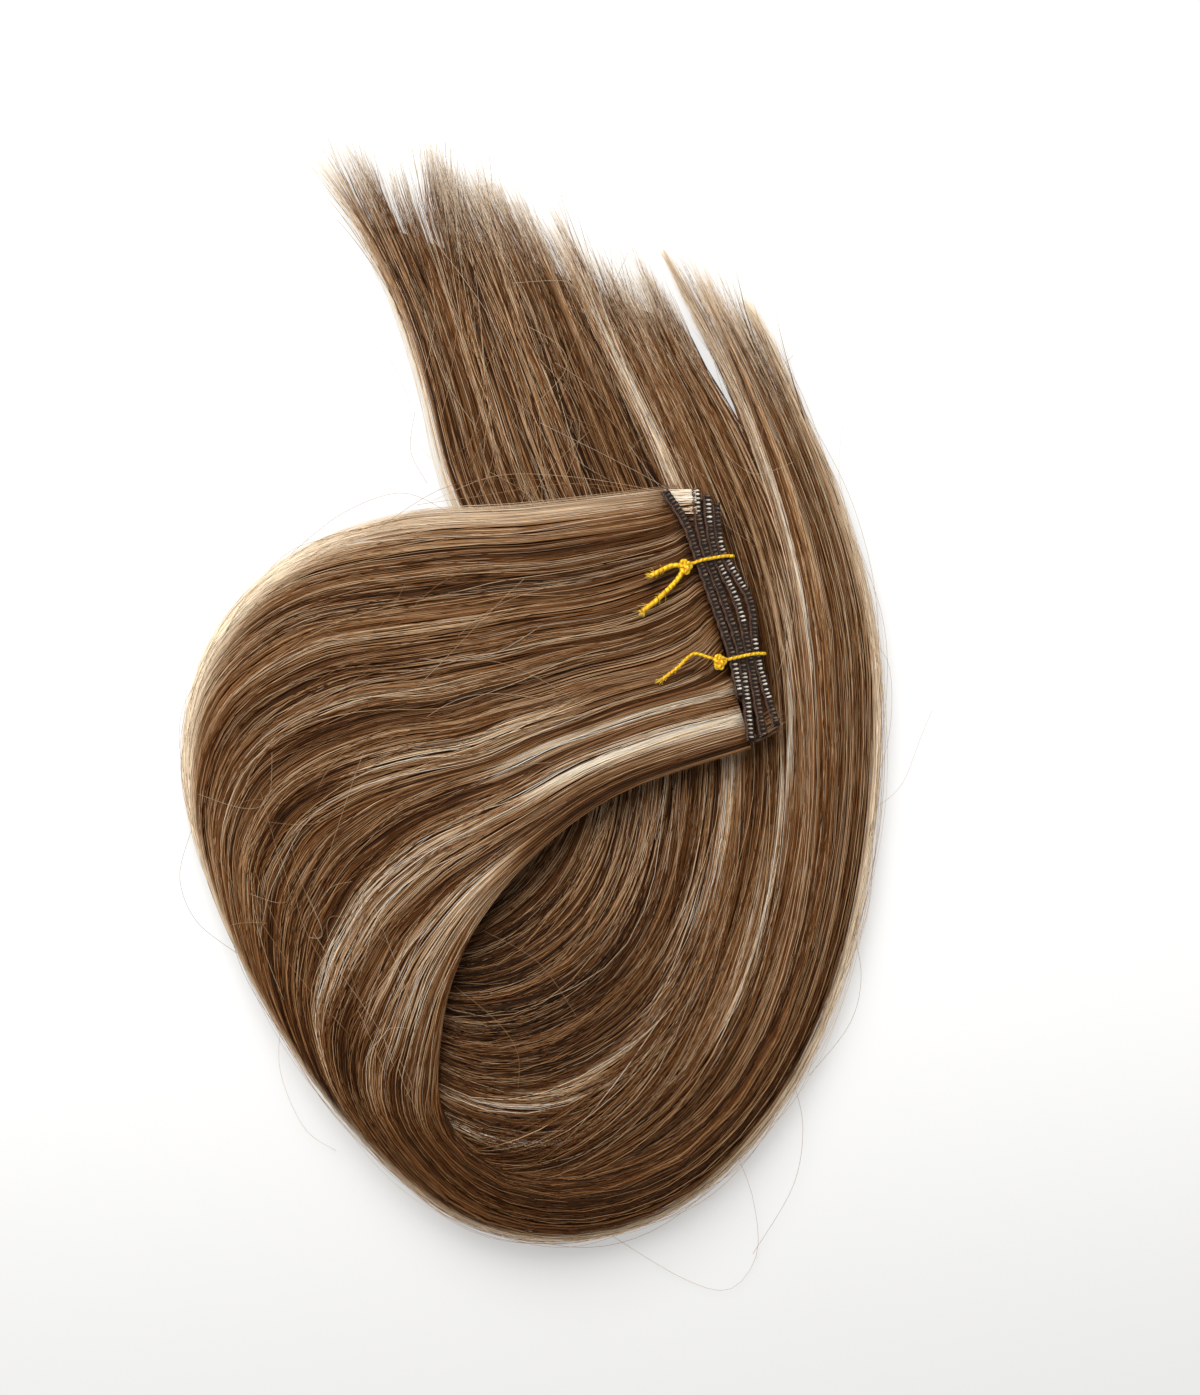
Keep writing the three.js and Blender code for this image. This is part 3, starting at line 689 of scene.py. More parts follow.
def upper_strands(name, seed, count, locks, steps, first_turn, last_turn):
    """Strands of the upper fall. Those on top at the track run until the twist takes them underneath,
    and those underneath start where the twist brings them up and run to the tips."""
    random = np.random.default_rng(seed)
    turns = np.sort(random.uniform(first_turn, last_turn, count))
    last_row = len(UPPER_FALL) - 1
    rows = np.linspace(0, last_row - 2, 320)
    twist = np.radians(along(UPPER_FALL, rows)[:, 7])
    share = np.linspace(0, 1, steps)[None, :]
    hold = 1 - EDGE_HOLD * smooth_step(*EDGE_HOLD_TURNS, turns)
    end_across = (1 - np.cos(turns + hold * twist[-1])) / 2
    off_clump, clump_length = clumps(UPPER_CLUMP_SEED, end_across, UPPER_CLUMPS)
    finish = np.interp(end_across, *UPPER_TIPS.T) + UPPER_PAST_CUT
    finish = finish + CLUMP_LENGTH * clump_length - UPPER_CLUMP_POINT * np.abs(off_clump)
    finish = finish - UPPER_CUT_ROWS * random.uniform(0, 1, count) ** 2
    goes_under = (turns - HIDDEN_TURN) / hold < -twist.min()
    finish = np.where(goes_under, np.interp((turns - HIDDEN_TURN) / hold, -twist, rows), finish)
    start = np.interp((turns - RISING_TURN) / hold, -twist, rows, left=0)
    from_track = start == 0
    # Steps are shorter near the track, where the hair bends most
    share = np.where(from_track[:, None], 0.45 * share + 0.55 * share ** 1.8, share)
    place = start[:, None] + (finish - start)[:, None] * share
    to_tip = (finish[:, None] - place) * TIP_ROW_SPACING
    to_tip = np.where(goes_under[:, None], OUT_OF_SIGHT, to_tip)
    comb = Comb(seed + 1, turns, locks, place)
    at_track = (1 - np.cos(comb.turn)) / 2
    at_track = np.where(comb.turn > np.pi, 2 - at_track, at_track)
    distance = np.maximum(place * ROW_SPACING - ROOT_SLANT * np.clip(1 - at_track, 0, 1), 0)
    droop = DROOP * (1 - np.exp(-distance / DROOP_RUN)) * (1 - smooth_step(*DROOP_END, distance))
    ripple = RIPPLE * np.sin(2 * np.pi * (distance - 8) / RIPPLE_LENGTH) * np.exp(-distance / 70)
    waves = droop + ripple * smooth_step(0, 20, distance)
    waves = waves * smooth_step(0, DROOP_ACROSS[0], at_track)
    waves = waves * (1 - smooth_step(*DROOP_ACROSS[1:], at_track))
    waves = waves + SWAY * np.sin(0.2 * distance + 9 * at_track) * np.exp(-distance / 60)
    turn = comb.turn + hold[:, None] * np.radians(along(UPPER_FALL, place)[..., 7])
    turn = turn + waves / WAVE_RADIUS * np.sin(np.clip(comb.turn, 0, np.pi))
    pull = GAP_PULL * near_opening(end_across, UPPER_GAP)[:, None] * smooth_step(*UPPER_GAP_ROWS, place)
    paths, across, width = strand_points(UPPER_FALL, place, turn, comb.lift - pull)
    gather = (UPPER_SPLAY * comb.splay + UPPER_CLUMP_PULL * off_clump) * calm(end_across, [UPPER_GAP])
    gather = gather + np.interp(end_across, *UPPER_LEAN.T)
    paths = splayed(paths, place, finish, np.where(goes_under, 0, gather))
    paths[..., 2] = np.maximum(paths[..., 2], LOWEST)
    tone = np.interp(place, *UPPER_TONE.T) + comb.tone + banded(UPPER_BANDS, at_track, place)
    from_line = np.interp(paths[..., 1], *ROOT_LINE.T) - paths[..., 0]
    root_shade = (1 - smooth_step(*ROOT_SHADE_RUN, from_line)) * (at_track < ROOT_SHADE_END)
    tone = tone - ROOT_SHADE * root_shade * from_track[:, None]
    # Painted shadows of the knots and their tails on the hair
    for x, y, heading_x, heading_y, half_length, half_width in KNOT_SHADOWS:
        ahead = ((paths[..., 0] - x) * heading_x + (paths[..., 1] - y) * heading_y) / half_length
        beside = ((paths[..., 0] - x) * heading_y - (paths[..., 1] - y) * heading_x) / half_width
        tone = tone - KNOT_SHADOW_DEPTH * np.exp(-(ahead ** 4) - beside ** 2)
    # The pale outer rim and the pale tips are painted light: the white surface shining through thin hair.
    row_numbers = np.arange(len(UPPER_RIM))
    from_edge = across * width / np.interp(place, row_numbers, RIM_WIDTH)
    rim = (1 - smooth_step(0, 1, from_edge)) * np.interp(place, row_numbers, UPPER_RIM)
    pale = UPPER_RIM_PALE * rim + TIP_PALE * comb.fading(to_tip)
    strands_object(name, paths, comb.radii(to_tip, THIN_RUN), tone, pale)


upper_strands("hair_upper_strands_outer", 21, 700, 70, 40, np.radians(1), np.radians(80))
upper_strands("hair_upper_strands_inner", 31, 470, 46, 44, np.radians(80), np.radians(138))
upper_strands("hair_upper_strands_edge", 51, 350, 36, 56, np.radians(138), np.radians(186))
upper_strands("hair_upper_strands_under", 41, 440, 44, 34, np.radians(184), np.radians(300))

# Hair that fans out of the neck: strands from its inner side spread over the lower fall and run up with
# it, so that the two falls close into one sheet on the right. It is the same hair, only loosely combed.
FAN_STRANDS = 210
FAN_LOCKS = 40
FAN_STEPS = 34
FAN_LEAVES = (8.0, 9.2)  # rows of the upper fall between which the strands leave the neck
FAN_SPREADS = (2.6, 5.5)  # rows that they take to spread out
FAN_EARLY = 0.4
FAN_NECK = (125, 178)  # degrees round the neck from which they come
FAN_FIRST = 0.03  # how far across the lower fall they begin, and how wide they spread
FAN_WIDTH = 0.3
FAN_CROWDING = 1.3  # above 1, they crowd towards the outer edge
FAN_CUT_ROWS = 0.9
FAN_EDGE_TURN = 0.12
FAN_LIFT = 0.35
# Tone along the fan: row of the upper fall and tone
FAN_TONE = np.array([[8, 0.2], [10, 0.22], [12, 0.32], [14, 0.37], [20, 0.36]])
ROWS_AHEAD = 2.0  # the upper fall counts this many rows more than the lower one at the same spot
random = np.random.default_rng(61)
leaves = random.uniform(*FAN_LEAVES, FAN_STRANDS)
spreads = random.uniform(*FAN_SPREADS, FAN_STRANDS)
fan_across = np.sort(FAN_FIRST + FAN_WIDTH * random.uniform(0, 1, FAN_STRANDS) ** FAN_CROWDING)
fan_last = np.interp(fan_across, *LOWER_TIPS.T) + ROWS_AHEAD
fan_last = fan_last - FAN_CUT_ROWS * random.uniform(0, 1, FAN_STRANDS)
place = leaves[:, None] + (fan_last - leaves)[:, None] * np.linspace(0, 1, FAN_STEPS)
comb = Comb(62, np.arccos(1 - 2 * fan_across), FAN_LOCKS, place)
neck_turn = np.radians(random.uniform(*FAN_NECK, FAN_STRANDS))[:, None] * np.ones_like(place)
from_neck, _, _ = strand_points(UPPER_FALL, np.minimum(place, len(UPPER_FALL) - 1), neck_turn, comb.lift)
fan_turn = np.clip(comb.turn, FAN_EDGE_TURN, np.pi - FAN_EDGE_TURN)
on_lower, across, _ = strand_points(LOWER_FALL, place - ROWS_AHEAD, fan_turn, comb.lift + FAN_LIFT)
past_neck = place - leaves[:, None]
share = smooth_step(0, 1, (past_neck + FAN_EARLY) / spreads[:, None])[..., None]
paths = from_neck * (1 - share) + on_lower * share
gather = comb.splay * calm(fan_across, [LOWER_GAP]) + np.interp(fan_across, *LOWER_LEAN.T)
paths = splayed(paths, place, fan_last, gather)
to_tip = (fan_last[:, None] - place) * TIP_ROW_SPACING
radii = comb.radii(to_tip, THIN_RUN) * smooth_step(-0.5, 1, past_neck)
tone = np.interp(place, *FAN_TONE.T) + comb.tone
tone = tone + share[..., 0] * banded(LOWER_BANDS, across, place - ROWS_AHEAD)
# The pale tips are painted light: the white surface shining through thin hair.
strands_object("hair_fan_strands", paths, radii, tone, TIP_PALE * comb.fading(to_tip))

# The tips of both falls: shorter hairs among the long ones, which make the ends of the hair thin out.
# They are the same hair, cut ragged, painted pale at the ends where the white surface shines through, and
# lying at all depths of the fall.
TIP_STEPS = 13
TIP_PAST_CUT = 0.4
TIP_LENGTHS = (0.7, 1.2)  # shortest and longest, as shares of the usual length
TIP_DEPTH = 1.4
TIP_SPLAY = 2.0
TIP_GATHER = 0.6
TIP_THIN_RUN = 20.0
TIP_TONE = 0.32
SHORT_TIP_PALE = 0.85
STRANDS_IN_LOCK = 9
HAZE_SHARE = 0.3  # share of the tips that are fine hair, painted pale where the white surface shines through it
HAZE_RADIUS = 0.7
HAZE_PALE = 0.45


def tip_strands(name, seed, count, fall, tips, lean, openings, length, reach):
    """Short strands that fill the end of a fall at all depths. The first opening is the gap between the
    falls. Length and reach, the distance over which they end, are counted in rows."""
    random = np.random.default_rng(seed)
    spread = np.sort(random.uniform(0.01, 0.99, count))
    off_clump, clump_length = clumps(CLUMP_SEED, spread, CLUMPS)
    finish = np.interp(spread, *tips.T) + TIP_PAST_CUT + CLUMP_LENGTH * clump_length
    finish = finish - reach * random.uniform(0, 1, count)
    start = finish - length * random.uniform(*TIP_LENGTHS, count)
    place = start[:, None] + (finish - start)[:, None] * np.linspace(0, 1, TIP_STEPS)
    comb = Comb(seed + 1, np.arccos(1 - 2 * spread), count // STRANDS_IN_LOCK, place)
    sunk = -random.uniform(0, TIP_DEPTH, count)[:, None]
    sunk = sunk - GAP_PULL * near_opening(spread, openings[0])[:, None]
    turn = np.arccos(1 - 2 * across_of(comb.turn))
    paths, _, _ = strand_points(fall, place, turn, comb.lift + sunk)
    gather = (TIP_SPLAY * comb.splay + TIP_GATHER * TIP_WIDTH * off_clump) * calm(spread, openings)
    gather = gather + np.interp(spread, *lean.T)
    paths = splayed(paths, place, finish, gather)
    paths[..., 2] = np.maximum(paths[..., 2], LOWEST)
    to_tip = (finish[:, None] - place) * TIP_ROW_SPACING
    haze = (random.uniform(0, 1, count) < HAZE_SHARE)[:, None]
    radii = comb.radii(to_tip, TIP_THIN_RUN) * np.where(haze, HAZE_RADIUS, 1)
    # Pale ends and pale haze are painted light: the white surface shining through thin hair.
    pale = SHORT_TIP_PALE * comb.fading(to_tip) + np.where(haze, HAZE_PALE, 0)
    strands_object(name, paths, radii, TIP_TONE + comb.tone, pale)


tip_strands(
    "hair_lower_tips", 71, 1000, LOWER_FALL, LOWER_TIPS, LOWER_LEAN, [LOWER_GAP, LOWER_NOTCH], 2.2, 0.75
)
tip_strands("hair_upper_tips", 81, 200, UPPER_FALL, UPPER_TIPS, UPPER_LEAN, [UPPER_GAP], 1.8, 0.9)

# The sewn track: one long machine-made band of thread that grips the roots, folded to and fro in four
# rows that lie side by side, each a step lower than the one before. Dark overlock thread runs along its
# edge in a chain and crosses it stitch by stitch, and the root ends bulge between the stitches.
TRACK_ROWS = np.array([
    [[33.4, 49.2], [38.6, 41.2], [41.9, 32.0], [46.2, 20.0], [50.2, 7.9], [52.0, -2.0]],
    [[41.2, 49.8], [41.9, 41.4], [44.1, 32.5], [48.6, 20.5], [52.3, 8.4], [54.8, -12.4]],
    [[43.9, 48.4], [44.5, 40.9], [46.2, 32.9], [51.6, 21.2], [54.3, 8.8], [57.9, -11.2]],
    [[46.2, 46.4], [46.7, 40.2], [48.3, 33.2], [54.7, 21.8], [56.2, 9.0], [61.2, -9.0]],
])
TOP_ROW_LIFT = 17.4
ROW_DROP = 1.0
TRACK_WIDTH = 2.3
TRACK_HEIGHT = 1.3
STITCH_PITCH = 1.05
POINTS_PER_STITCH = 7
THREAD_RADIUS = 0.2
# Stretches of each row, by their y, where pale hair shows between the stitches
PALE_STRETCHES = [
    [(-1.0, 7.0)],
    [(43.5, 51.0), (-12.0, 4.5)],
    [(41.5, 47.5), (17.0, 31.5)],
    [(34.0, 38.5), (25.5, 32.5), (10.0, 13.0), (-2.0, 8.0)],
]
THREAD_DARK = np.array([52, 38, 30])
GROUND_DARK = np.array([26, 17, 12])
ROOT_BROWN = np.array([122, 98, 78])
ROOT_PALE = np.array([240, 230, 214])


def even_path(points, spacing):
    """A smooth path through points, cut into even steps of about the given length, and the way along it
    to each step."""
    fine = along(np.asarray(points, dtype=float), np.linspace(0, len(points) - 1, 600))
    run = np.concatenate([[0], np.cumsum(np.linalg.norm(np.diff(fine, axis=0), axis=1))])
    steps = np.linspace(0, run[-1], int(run[-1] / spacing) + 2)
    path = np.stack([np.interp(steps, run, fine[:, axis]) for axis in range(fine.shape[1])], axis=-1)
    return path, steps


def carried_frame(path):
    """Heading, side and top of a path at each point, turned as little as possible along it."""
    heading = np.gradient(path, axis=0)
    heading /= np.linalg.norm(heading, axis=1, keepdims=True) + 1e-9
    side = np.empty_like(path)
    first = np.cross(heading[0], [0.0, 0.0, 1.0])
    if np.linalg.norm(first) < 0.1:
        first = np.cross(heading[0], [0.0, 1.0, 0.0])
    for step, ahead in enumerate(heading):
        first = first - ahead * np.dot(first, ahead)
        first = first / (np.linalg.norm(first) + 1e-9)
        side[step] = first
    return heading, side, np.cross(side, heading)


def ring_faces(rings, around, first):
    """Faces of a closed tube: the quads between its rings and the triangles over its two ends."""
    numbers = first + np.arange(rings * around).reshape(rings, around)
    turned = np.roll(numbers, -1, axis=1)
    quads = np.stack([numbers[:-1], numbers[1:], turned[1:], turned[:-1]], axis=-1).reshape(-1, 4)
    caps = []
    for edge in (numbers[0], numbers[-1, ::-1]):
        for corner in range(1, around - 1):
            caps.append([edge[0], edge[corner], edge[corner + 1]])
    return quads, caps


def tubes_object(name, tubes, sides, material):
    """Round tubes joined in one mesh. Each tube is its path, the radius and the colour at each point."""
    corners = []
    quads = []
    caps = []
    colours = []
    maps = []
    first = 0
    angles = np.linspace(0, 2 * np.pi, sides, endpoint=False)
    for number, (path, radius, colour) in enumerate(tubes):
        _, side, top = carried_frame(path)
        ring = np.cos(angles)[None, :, None] * side[:, None] + np.sin(angles)[None, :, None] * top[:, None]
        thick = np.broadcast_to(radius, len(path))[:, None, None]
        corners.append((path[:, None] + thick * ring).reshape(-1, 3))
        own_quads, own_caps = ring_faces(len(path), sides, first)
        quads.append(own_quads)
        caps += own_caps
        colours.append(np.repeat(np.broadcast_to(colour, (len(path), 3)), sides, axis=0))
        u = np.repeat(np.linspace(*MAP_RANGE, len(path)), sides)
        v = np.tile((number + 0.1 + 0.8 * np.arange(sides) / sides) / len(tubes), len(path))
        maps.append(np.stack([u, v], axis=-1))
        first += len(path) * sides
    piece = mesh_object(name, np.concatenate(corners), np.concatenate(quads), caps, material)
    colour_corners(piece, linear(np.concatenate(colours)))
    lay_map(piece, "OFBake", np.concatenate(maps))
    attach(piece, "root")
    return piece


def thread_material(name):
    """Spun thread: coloured point by point, dull, with a fine fuzzy surface."""
    material, nodes, links, shader = new_material(name)
    shader.inputs["Roughness"].default_value = 0.6
    shader.inputs["Specular IOR Level"].default_value = 0.25
    painted_colour_shader(nodes, links, shader)
    raise_grain(nodes, links, shader, noise_node(nodes, 9000, 2), 0.5, 0.0001)
    return material


THREAD_FINISH = thread_material("dark sewing thread")
GROUND_STEP = 4  # the ground has a ring for every so many points of the chain
GROUND_HALF_HEIGHT = 0.4
GROUND_OFFSETS = (-0.5, 0.0, 0.5)
GROUND_SIDES = 6
THREAD_SIDES = 5
FOLD_LEVELS = np.array([[14.9], [13.9], [13.1]])
TOOTH_STEPS = 6
TOOTH_FIRST = 0.4  # way along a row to its first bulge, and from its last one to the end
TOOTH_LAST = 0.3
TOOTH_REACH = (-0.45, 0.88)
TOOTH_SHAPE = np.array([0.3, 0.55, 0.8, 1.0, 0.95, 0.5])  # thickness of a bulge from the chain outwards
TOOTH_RADIUS = 0.33
CHAIN_OFFSET = 0.7
CHAIN_SWING = 0.26
CHAIN_RISE = 0.18
RIM_OFFSET = 0.98
RIM_RADIUS = 0.13
FIBRES = 60
FIBRE_LENGTH = 0.6
FIBRE_SAG = 0.5
FIBRE_RADIUS = 0.035
FIBRE_STEPS = 4

random = np.random.default_rng(91)
up = np.array([0.0, 0.0, 1.0])
fold = np.concatenate([TRACK_ROWS[1:, -1], FOLD_LEVELS], axis=1)
lines = []
for number, row in enumerate(TRACK_ROWS):
    level = np.full((len(row), 1), TOP_ROW_LIFT - number * ROW_DROP)
    lines.append((np.concatenate([row, level], axis=1), PALE_STRETCHES[number]))
lines.append((fold, []))
stitches = []
grounds = []
for line, pale_stretches in lines:
    path, run = even_path(line, STITCH_PITCH / POINTS_PER_STITCH)
    path = path + up * TRACK_HEIGHT / 2
    heading = np.gradient(path, axis=0) * [1, 1, 0]
    heading /= np.linalg.norm(heading, axis=1, keepdims=True)
    aside = np.stack([-heading[:, 1], heading[:, 0], np.zeros(len(path))], axis=-1)
    for offset in GROUND_OFFSETS:
        ground = (path + aside * offset)[::GROUND_STEP]
        shade = random.uniform(0.8, 1.2, (len(ground), 1))
        grounds.append((ground, GROUND_HALF_HEIGHT, GROUND_DARK * shade))
    uneven = drift(random, 4, run[None, :], 0.15, 0.5)
    beat = 2 * np.pi * run / STITCH_PITCH + 0.7 * uneven[0]
    # Two threads of the chain that twist round each other along the edge
    for half_turn in (0, np.pi):
        swing = CHAIN_SWING * (1 + 0.25 * uneven[1])
        out = -CHAIN_OFFSET - 0.12 * uneven[2] + swing * np.cos(beat + half_turn)
        rise = CHAIN_RISE + swing * np.sin(beat + half_turn)
        chain = path + aside * out[:, None] + up * rise[:, None]
        # Each chain thread is painted lighter where it rises and darker where it sinks: painted highlight
        # and painted shade
        shade = 1.1 + 0.95 * np.sin(beat + half_turn) * random.uniform(0.5, 1, len(path))
        shade = np.maximum(shade, 0.35)
        stitches.append((chain, THREAD_RADIUS * (1 + 0.2 * uneven[3]), THREAD_DARK * shade[:, None]))
    # One thread along the other edge
    rim = path + aside * (RIM_OFFSET + 0.08 * np.cos(beat))[:, None] + up * (0.05 * np.sin(beat))[:, None]
    rim = rim[::2]
    stitches.append((rim, RIM_RADIUS, THREAD_DARK * random.uniform(0.7, 1.2, (len(rim), 1))))
    # The bulges of hair between the stitches
    spots = np.arange(TOOTH_FIRST, run[-1] - TOOTH_LAST, STITCH_PITCH)
    spots = spots + random.normal(0, 0.07, len(spots))
    for spot in spots:
        step = min(int(spot / run[-1] * (len(path) - 1)), len(path) - 1)
        tooth_end = TOOTH_REACH[1] + random.normal(0, 0.07)
        reach = np.linspace(TOOTH_REACH[0], tooth_end, TOOTH_STEPS)[:, None]
        slant = random.normal(0.06, 0.05)
        tooth = path[step] + aside[step] * reach + heading[step] * slant * reach
        tooth = tooth + up * (0.2 + 0.12 * np.sin(np.linspace(0.3, 2.6, TOOTH_STEPS)))[:, None]
        pale = 0.0
        for low, high in pale_stretches:
            if low < path[step, 1] < high:
                pale = random.uniform(0.5, 1.0)
        colour = ROOT_BROWN * random.uniform(0.7, 1.2) * (1 - pale) + ROOT_PALE * pale
        # Painted shade: each bulge is darker towards the chain, where it runs in under the thread
        fading = np.linspace(0.45 + 0.35 * pale, 1.0, TOOTH_STEPS)[:, None]
        thick = TOOTH_RADIUS * random.uniform(0.8, 1.08)
        stitches.append((tooth, thick * TOOTH_SHAPE, np.minimum(colour * fading, 255)))
    # Fibres that stand off the thread
    for step in random.integers(0, len(path), FIBRES):
        lean = random.normal(0, 1, 3)
        lean[2] = 0.4 + 0.4 * abs(lean[2])
        share = np.linspace(0, 1, FIBRE_STEPS)[:, None]
        base = path[step] + aside[step] * random.uniform(-1, 1) + up * 0.45
        fibre = base + FIBRE_LENGTH * lean * share - FIBRE_SAG * up * share ** 2
        stitches.append((fibre, FIBRE_RADIUS, THREAD_DARK * 1.3))

track_ground = tubes_object("weft_ground", grounds, GROUND_SIDES, THREAD_FINISH)
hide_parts("weft_track")
track_stitches = tubes_object("weft_stitches", stitches, THREAD_SIDES, THREAD_FINISH)

# Hair between the first two rows of the track, which stand apart at the top: root ends, pale at the top
# and dark further down, on their way from the second row under the first one and sewn in at both.
GAP_STRANDS = 130
GAP_RADIUS = 0.16
SHORT_STEPS = 6
down_rows = np.sort(random.uniform(0.0, 1.6, GAP_STRANDS))
gap_left = along(TRACK_ROWS[0], down_rows)
gap_right = along(TRACK_ROWS[1], down_rows)
share = np.linspace(0, 1, SHORT_STEPS)[None, :, None]
flat = gap_right[:, None] + (gap_left - gap_right)[:, None] * share
flat[..., 1] += 0.5 * (random.uniform(-1, 1, GAP_STRANDS)[:, None] * share[..., 0])
level = TOP_ROW_LIFT - 0.2 - 0.1 * np.sin(np.pi * share[..., 0])
level = level + random.uniform(-0.15, 0.25, GAP_STRANDS)[:, None]
paths = np.concatenate([flat, level[..., None]], axis=-1)
tone = 0.96 - 0.9 * smooth_step(0.35, 0.9, down_rows + random.normal(0, 0.16, GAP_STRANDS))
tone = np.broadcast_to(tone[:, None], level.shape)
strands_object("hair_between_rows", paths, np.full(level.shape, GAP_RADIUS), tone)

# Wisps over the lower ends of the last rows: short loose hairs of mixed brown that the fold of the track
# has pulled out and still holds by one end.
WISPS = 46
WISP_RADIUS = 0.055
WISP_PALE = 0.2
WISP_X = (57.0, 59.4)  # where they start, and how far they run
WISP_Y = (-12.0, -6.0)
WISP_RUN = np.array([4.2, 2.6])
WISP_LEVEL = 16.4
WISP_SLOPE = 0.33
start = np.stack([random.uniform(*WISP_X, WISPS), random.uniform(*WISP_Y, WISPS)], axis=-1)
flat = start[:, None] + WISP_RUN * share + random.normal(0, 0.35, (WISPS, 1, 2)) * share ** 2
level = WISP_LEVEL - WISP_SLOPE * (flat[..., 0] - WISP_X[0]) + random.uniform(-0.2, 0.2, (WISPS, 1))
paths = np.concatenate([flat, level[..., None]], axis=-1)
tone = np.broadcast_to(random.normal(0.26, 0.2, (WISPS, 1)), level.shape)
strands_object("hair_wisps", paths, np.full(level.shape, WISP_RADIUS), tone, WISP_PALE)

# The roots under the track: the packed hair of all four rows on its way into the falls, a solid wedge
# below the stitches that the cords pass round.
HEAD_UNDERSIDE = 9.9
ROOT_RINGS = 60
ROOT_SIDES = 24
ROOT_FULLNESS = 0.4
ROOT_TRIM = 0.3  # the wedge ends this much inside the edge of the last row
ROOT_COVER = 0.1  # and reaches this much up into the rows
ROOT_STREAKS = 0.6  # how much of the streaks' map lies along the wedge
track_share = np.linspace(0, len(TRACK_ROWS[0]) - 1, ROOT_RINGS)
left_edge = along(TRACK_ROWS[0], track_share)
right_edge = along(TRACK_ROWS[-1], track_share)
left_side = left_edge[:, 0] - TRACK_WIDTH / 2
right_side = right_edge[:, 0] + TRACK_WIDTH / 2 - ROOT_TRIM
angle = np.linspace(0, 2 * np.pi, ROOT_SIDES, endpoint=False)
over = np.sign(np.cos(angle)) * np.abs(np.cos(angle)) ** ROOT_FULLNESS
rise = np.sign(np.sin(angle)) * np.abs(np.sin(angle)) ** ROOT_FULLNESS
share = 0.5 + 0.5 * over
rings = []
for step in range(ROOT_RINGS):
    x = left_side[step] + share * (right_side[step] - left_side[step])
    y = left_edge[step, 1] + share * (right_edge[step, 1] - left_edge[step, 1])
    roof = TOP_ROW_LIFT + ROOT_COVER - share * ROW_DROP * len(TRACK_ROWS)
    z = HEAD_UNDERSIDE + (0.5 + 0.5 * rise) * (roof - HEAD_UNDERSIDE)
    rings.append(np.stack([x, y, z], axis=-1))
quads, caps = ring_faces(ROOT_RINGS, ROOT_SIDES, 0)
root_wedge = mesh_object("hair_roots", np.concatenate(rings), quads, caps, BODY_FINISH)
lengthwise = np.linspace(0, 1, ROOT_RINGS)
wedge_along, wedge_round = np.meshgrid(lengthwise, np.linspace(0, 1, ROOT_SIDES), indexing="ij")
lay_map(root_wedge, "Flow", np.stack([wedge_round, wedge_along * ROOT_STREAKS], axis=-1).reshape(-1, 2))
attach(root_wedge, "root")

# The two cords: three-ply gold metallised yarn, each a loop round the folded track with a knot in front
# and cut ends that fray. They are wound by hand and only the thread's stiffness holds their shape.
CORD_RADIUS = 0.5
SEAT_GAP = 0.3
CROWN_SHARE = 0.27  # where on a row's width the cord passes over it, and where it goes down beside it
BESIDE_SHARE = 0.3
PLY_PITCH = 1.25
PLIES = 3
PLY_STEPS = 6  # points along a ply for each turn
PLY_OFFSET = 0.58  # how far off the middle a ply lies, and its radius, as shares of the cord's
PLY_RADIUS = 0.47
LOOP_THICKNESS = 0.9  # share of its thickness that the cord keeps where it is pulled tight
KNOT_SIZES = (0.92, 0.75)
SECOND_KNOT_SCALE = [0.8, 1.3, 1]
SECOND_KNOT_SHIFT = [-0.1, -0.6, -0.2]
FRAY_STEPS = 6
FRAY_RADII = np.linspace(0.07, 0.03, FRAY_STEPS)
FRAY_CURL = 0.35
END_FIBRES = 14
END_FRAY = 2.4
END_START = 0.6  # fibres begin this far before the cut end
WORN_SPACING = 0.5  # and stand off the cord's outer half at this spacing
WORN_FIBRES = 3
WORN_FRAY = 1.8
# The plies are painted between these two golds point by point: the bright one is painted glints, the deep
# one painted shade in the creases
GOLD_PAINTED_GLINT = np.array([255, 228, 40])
GOLD_PAINTED_CREASE_SHADE = np.array([205, 124, 4])
GOLD_FRAY = np.array([255, 216, 70])
# For each cord: the point of the track's rows that it crosses, the knot, and the free ends with how thick
# each one is beside the cord
TIES = {
    "tie_upper": {
        "crossing": 2,
        "knot": [38.6, 30.6, 19.3],
        "thickness": [1.3, 1.35],
        "tails": [
            [[35.0, 30.6, 19.9], [30.2, 28.2, 20.2]],
            [[36.4, 27.0, 19.9], [32.0, 22.6, 20.3], [28.0, 19.4, 20.3]],
        ],
    },
    "tie_lower": {
        "crossing": 4,
        "knot": [47.1, 7.1, 19.3],
        "thickness": [0.9],
        "tails": [[[43.8, 8.2, 20.1], [40.4, 8.8, 20.8], [36.6, 5.4, 20.4], [32.6, 2.4, 20.2]]],
    },
}


def gold_material(name):
    """Metallised yarn: bright gold with fine creases that break up its gloss."""
    material, nodes, links, shader = new_material(name)
    shader.inputs["Metallic"].default_value = 0.25
    painted_colour_shader(nodes, links, shader)
    crinkle = noise_node(nodes, 4000, 3)
    vary_gloss(nodes, links, shader, crinkle, 0.2, 0.5)
    raise_grain(nodes, links, shader, crinkle, 0.6, 0.00012)
    return material


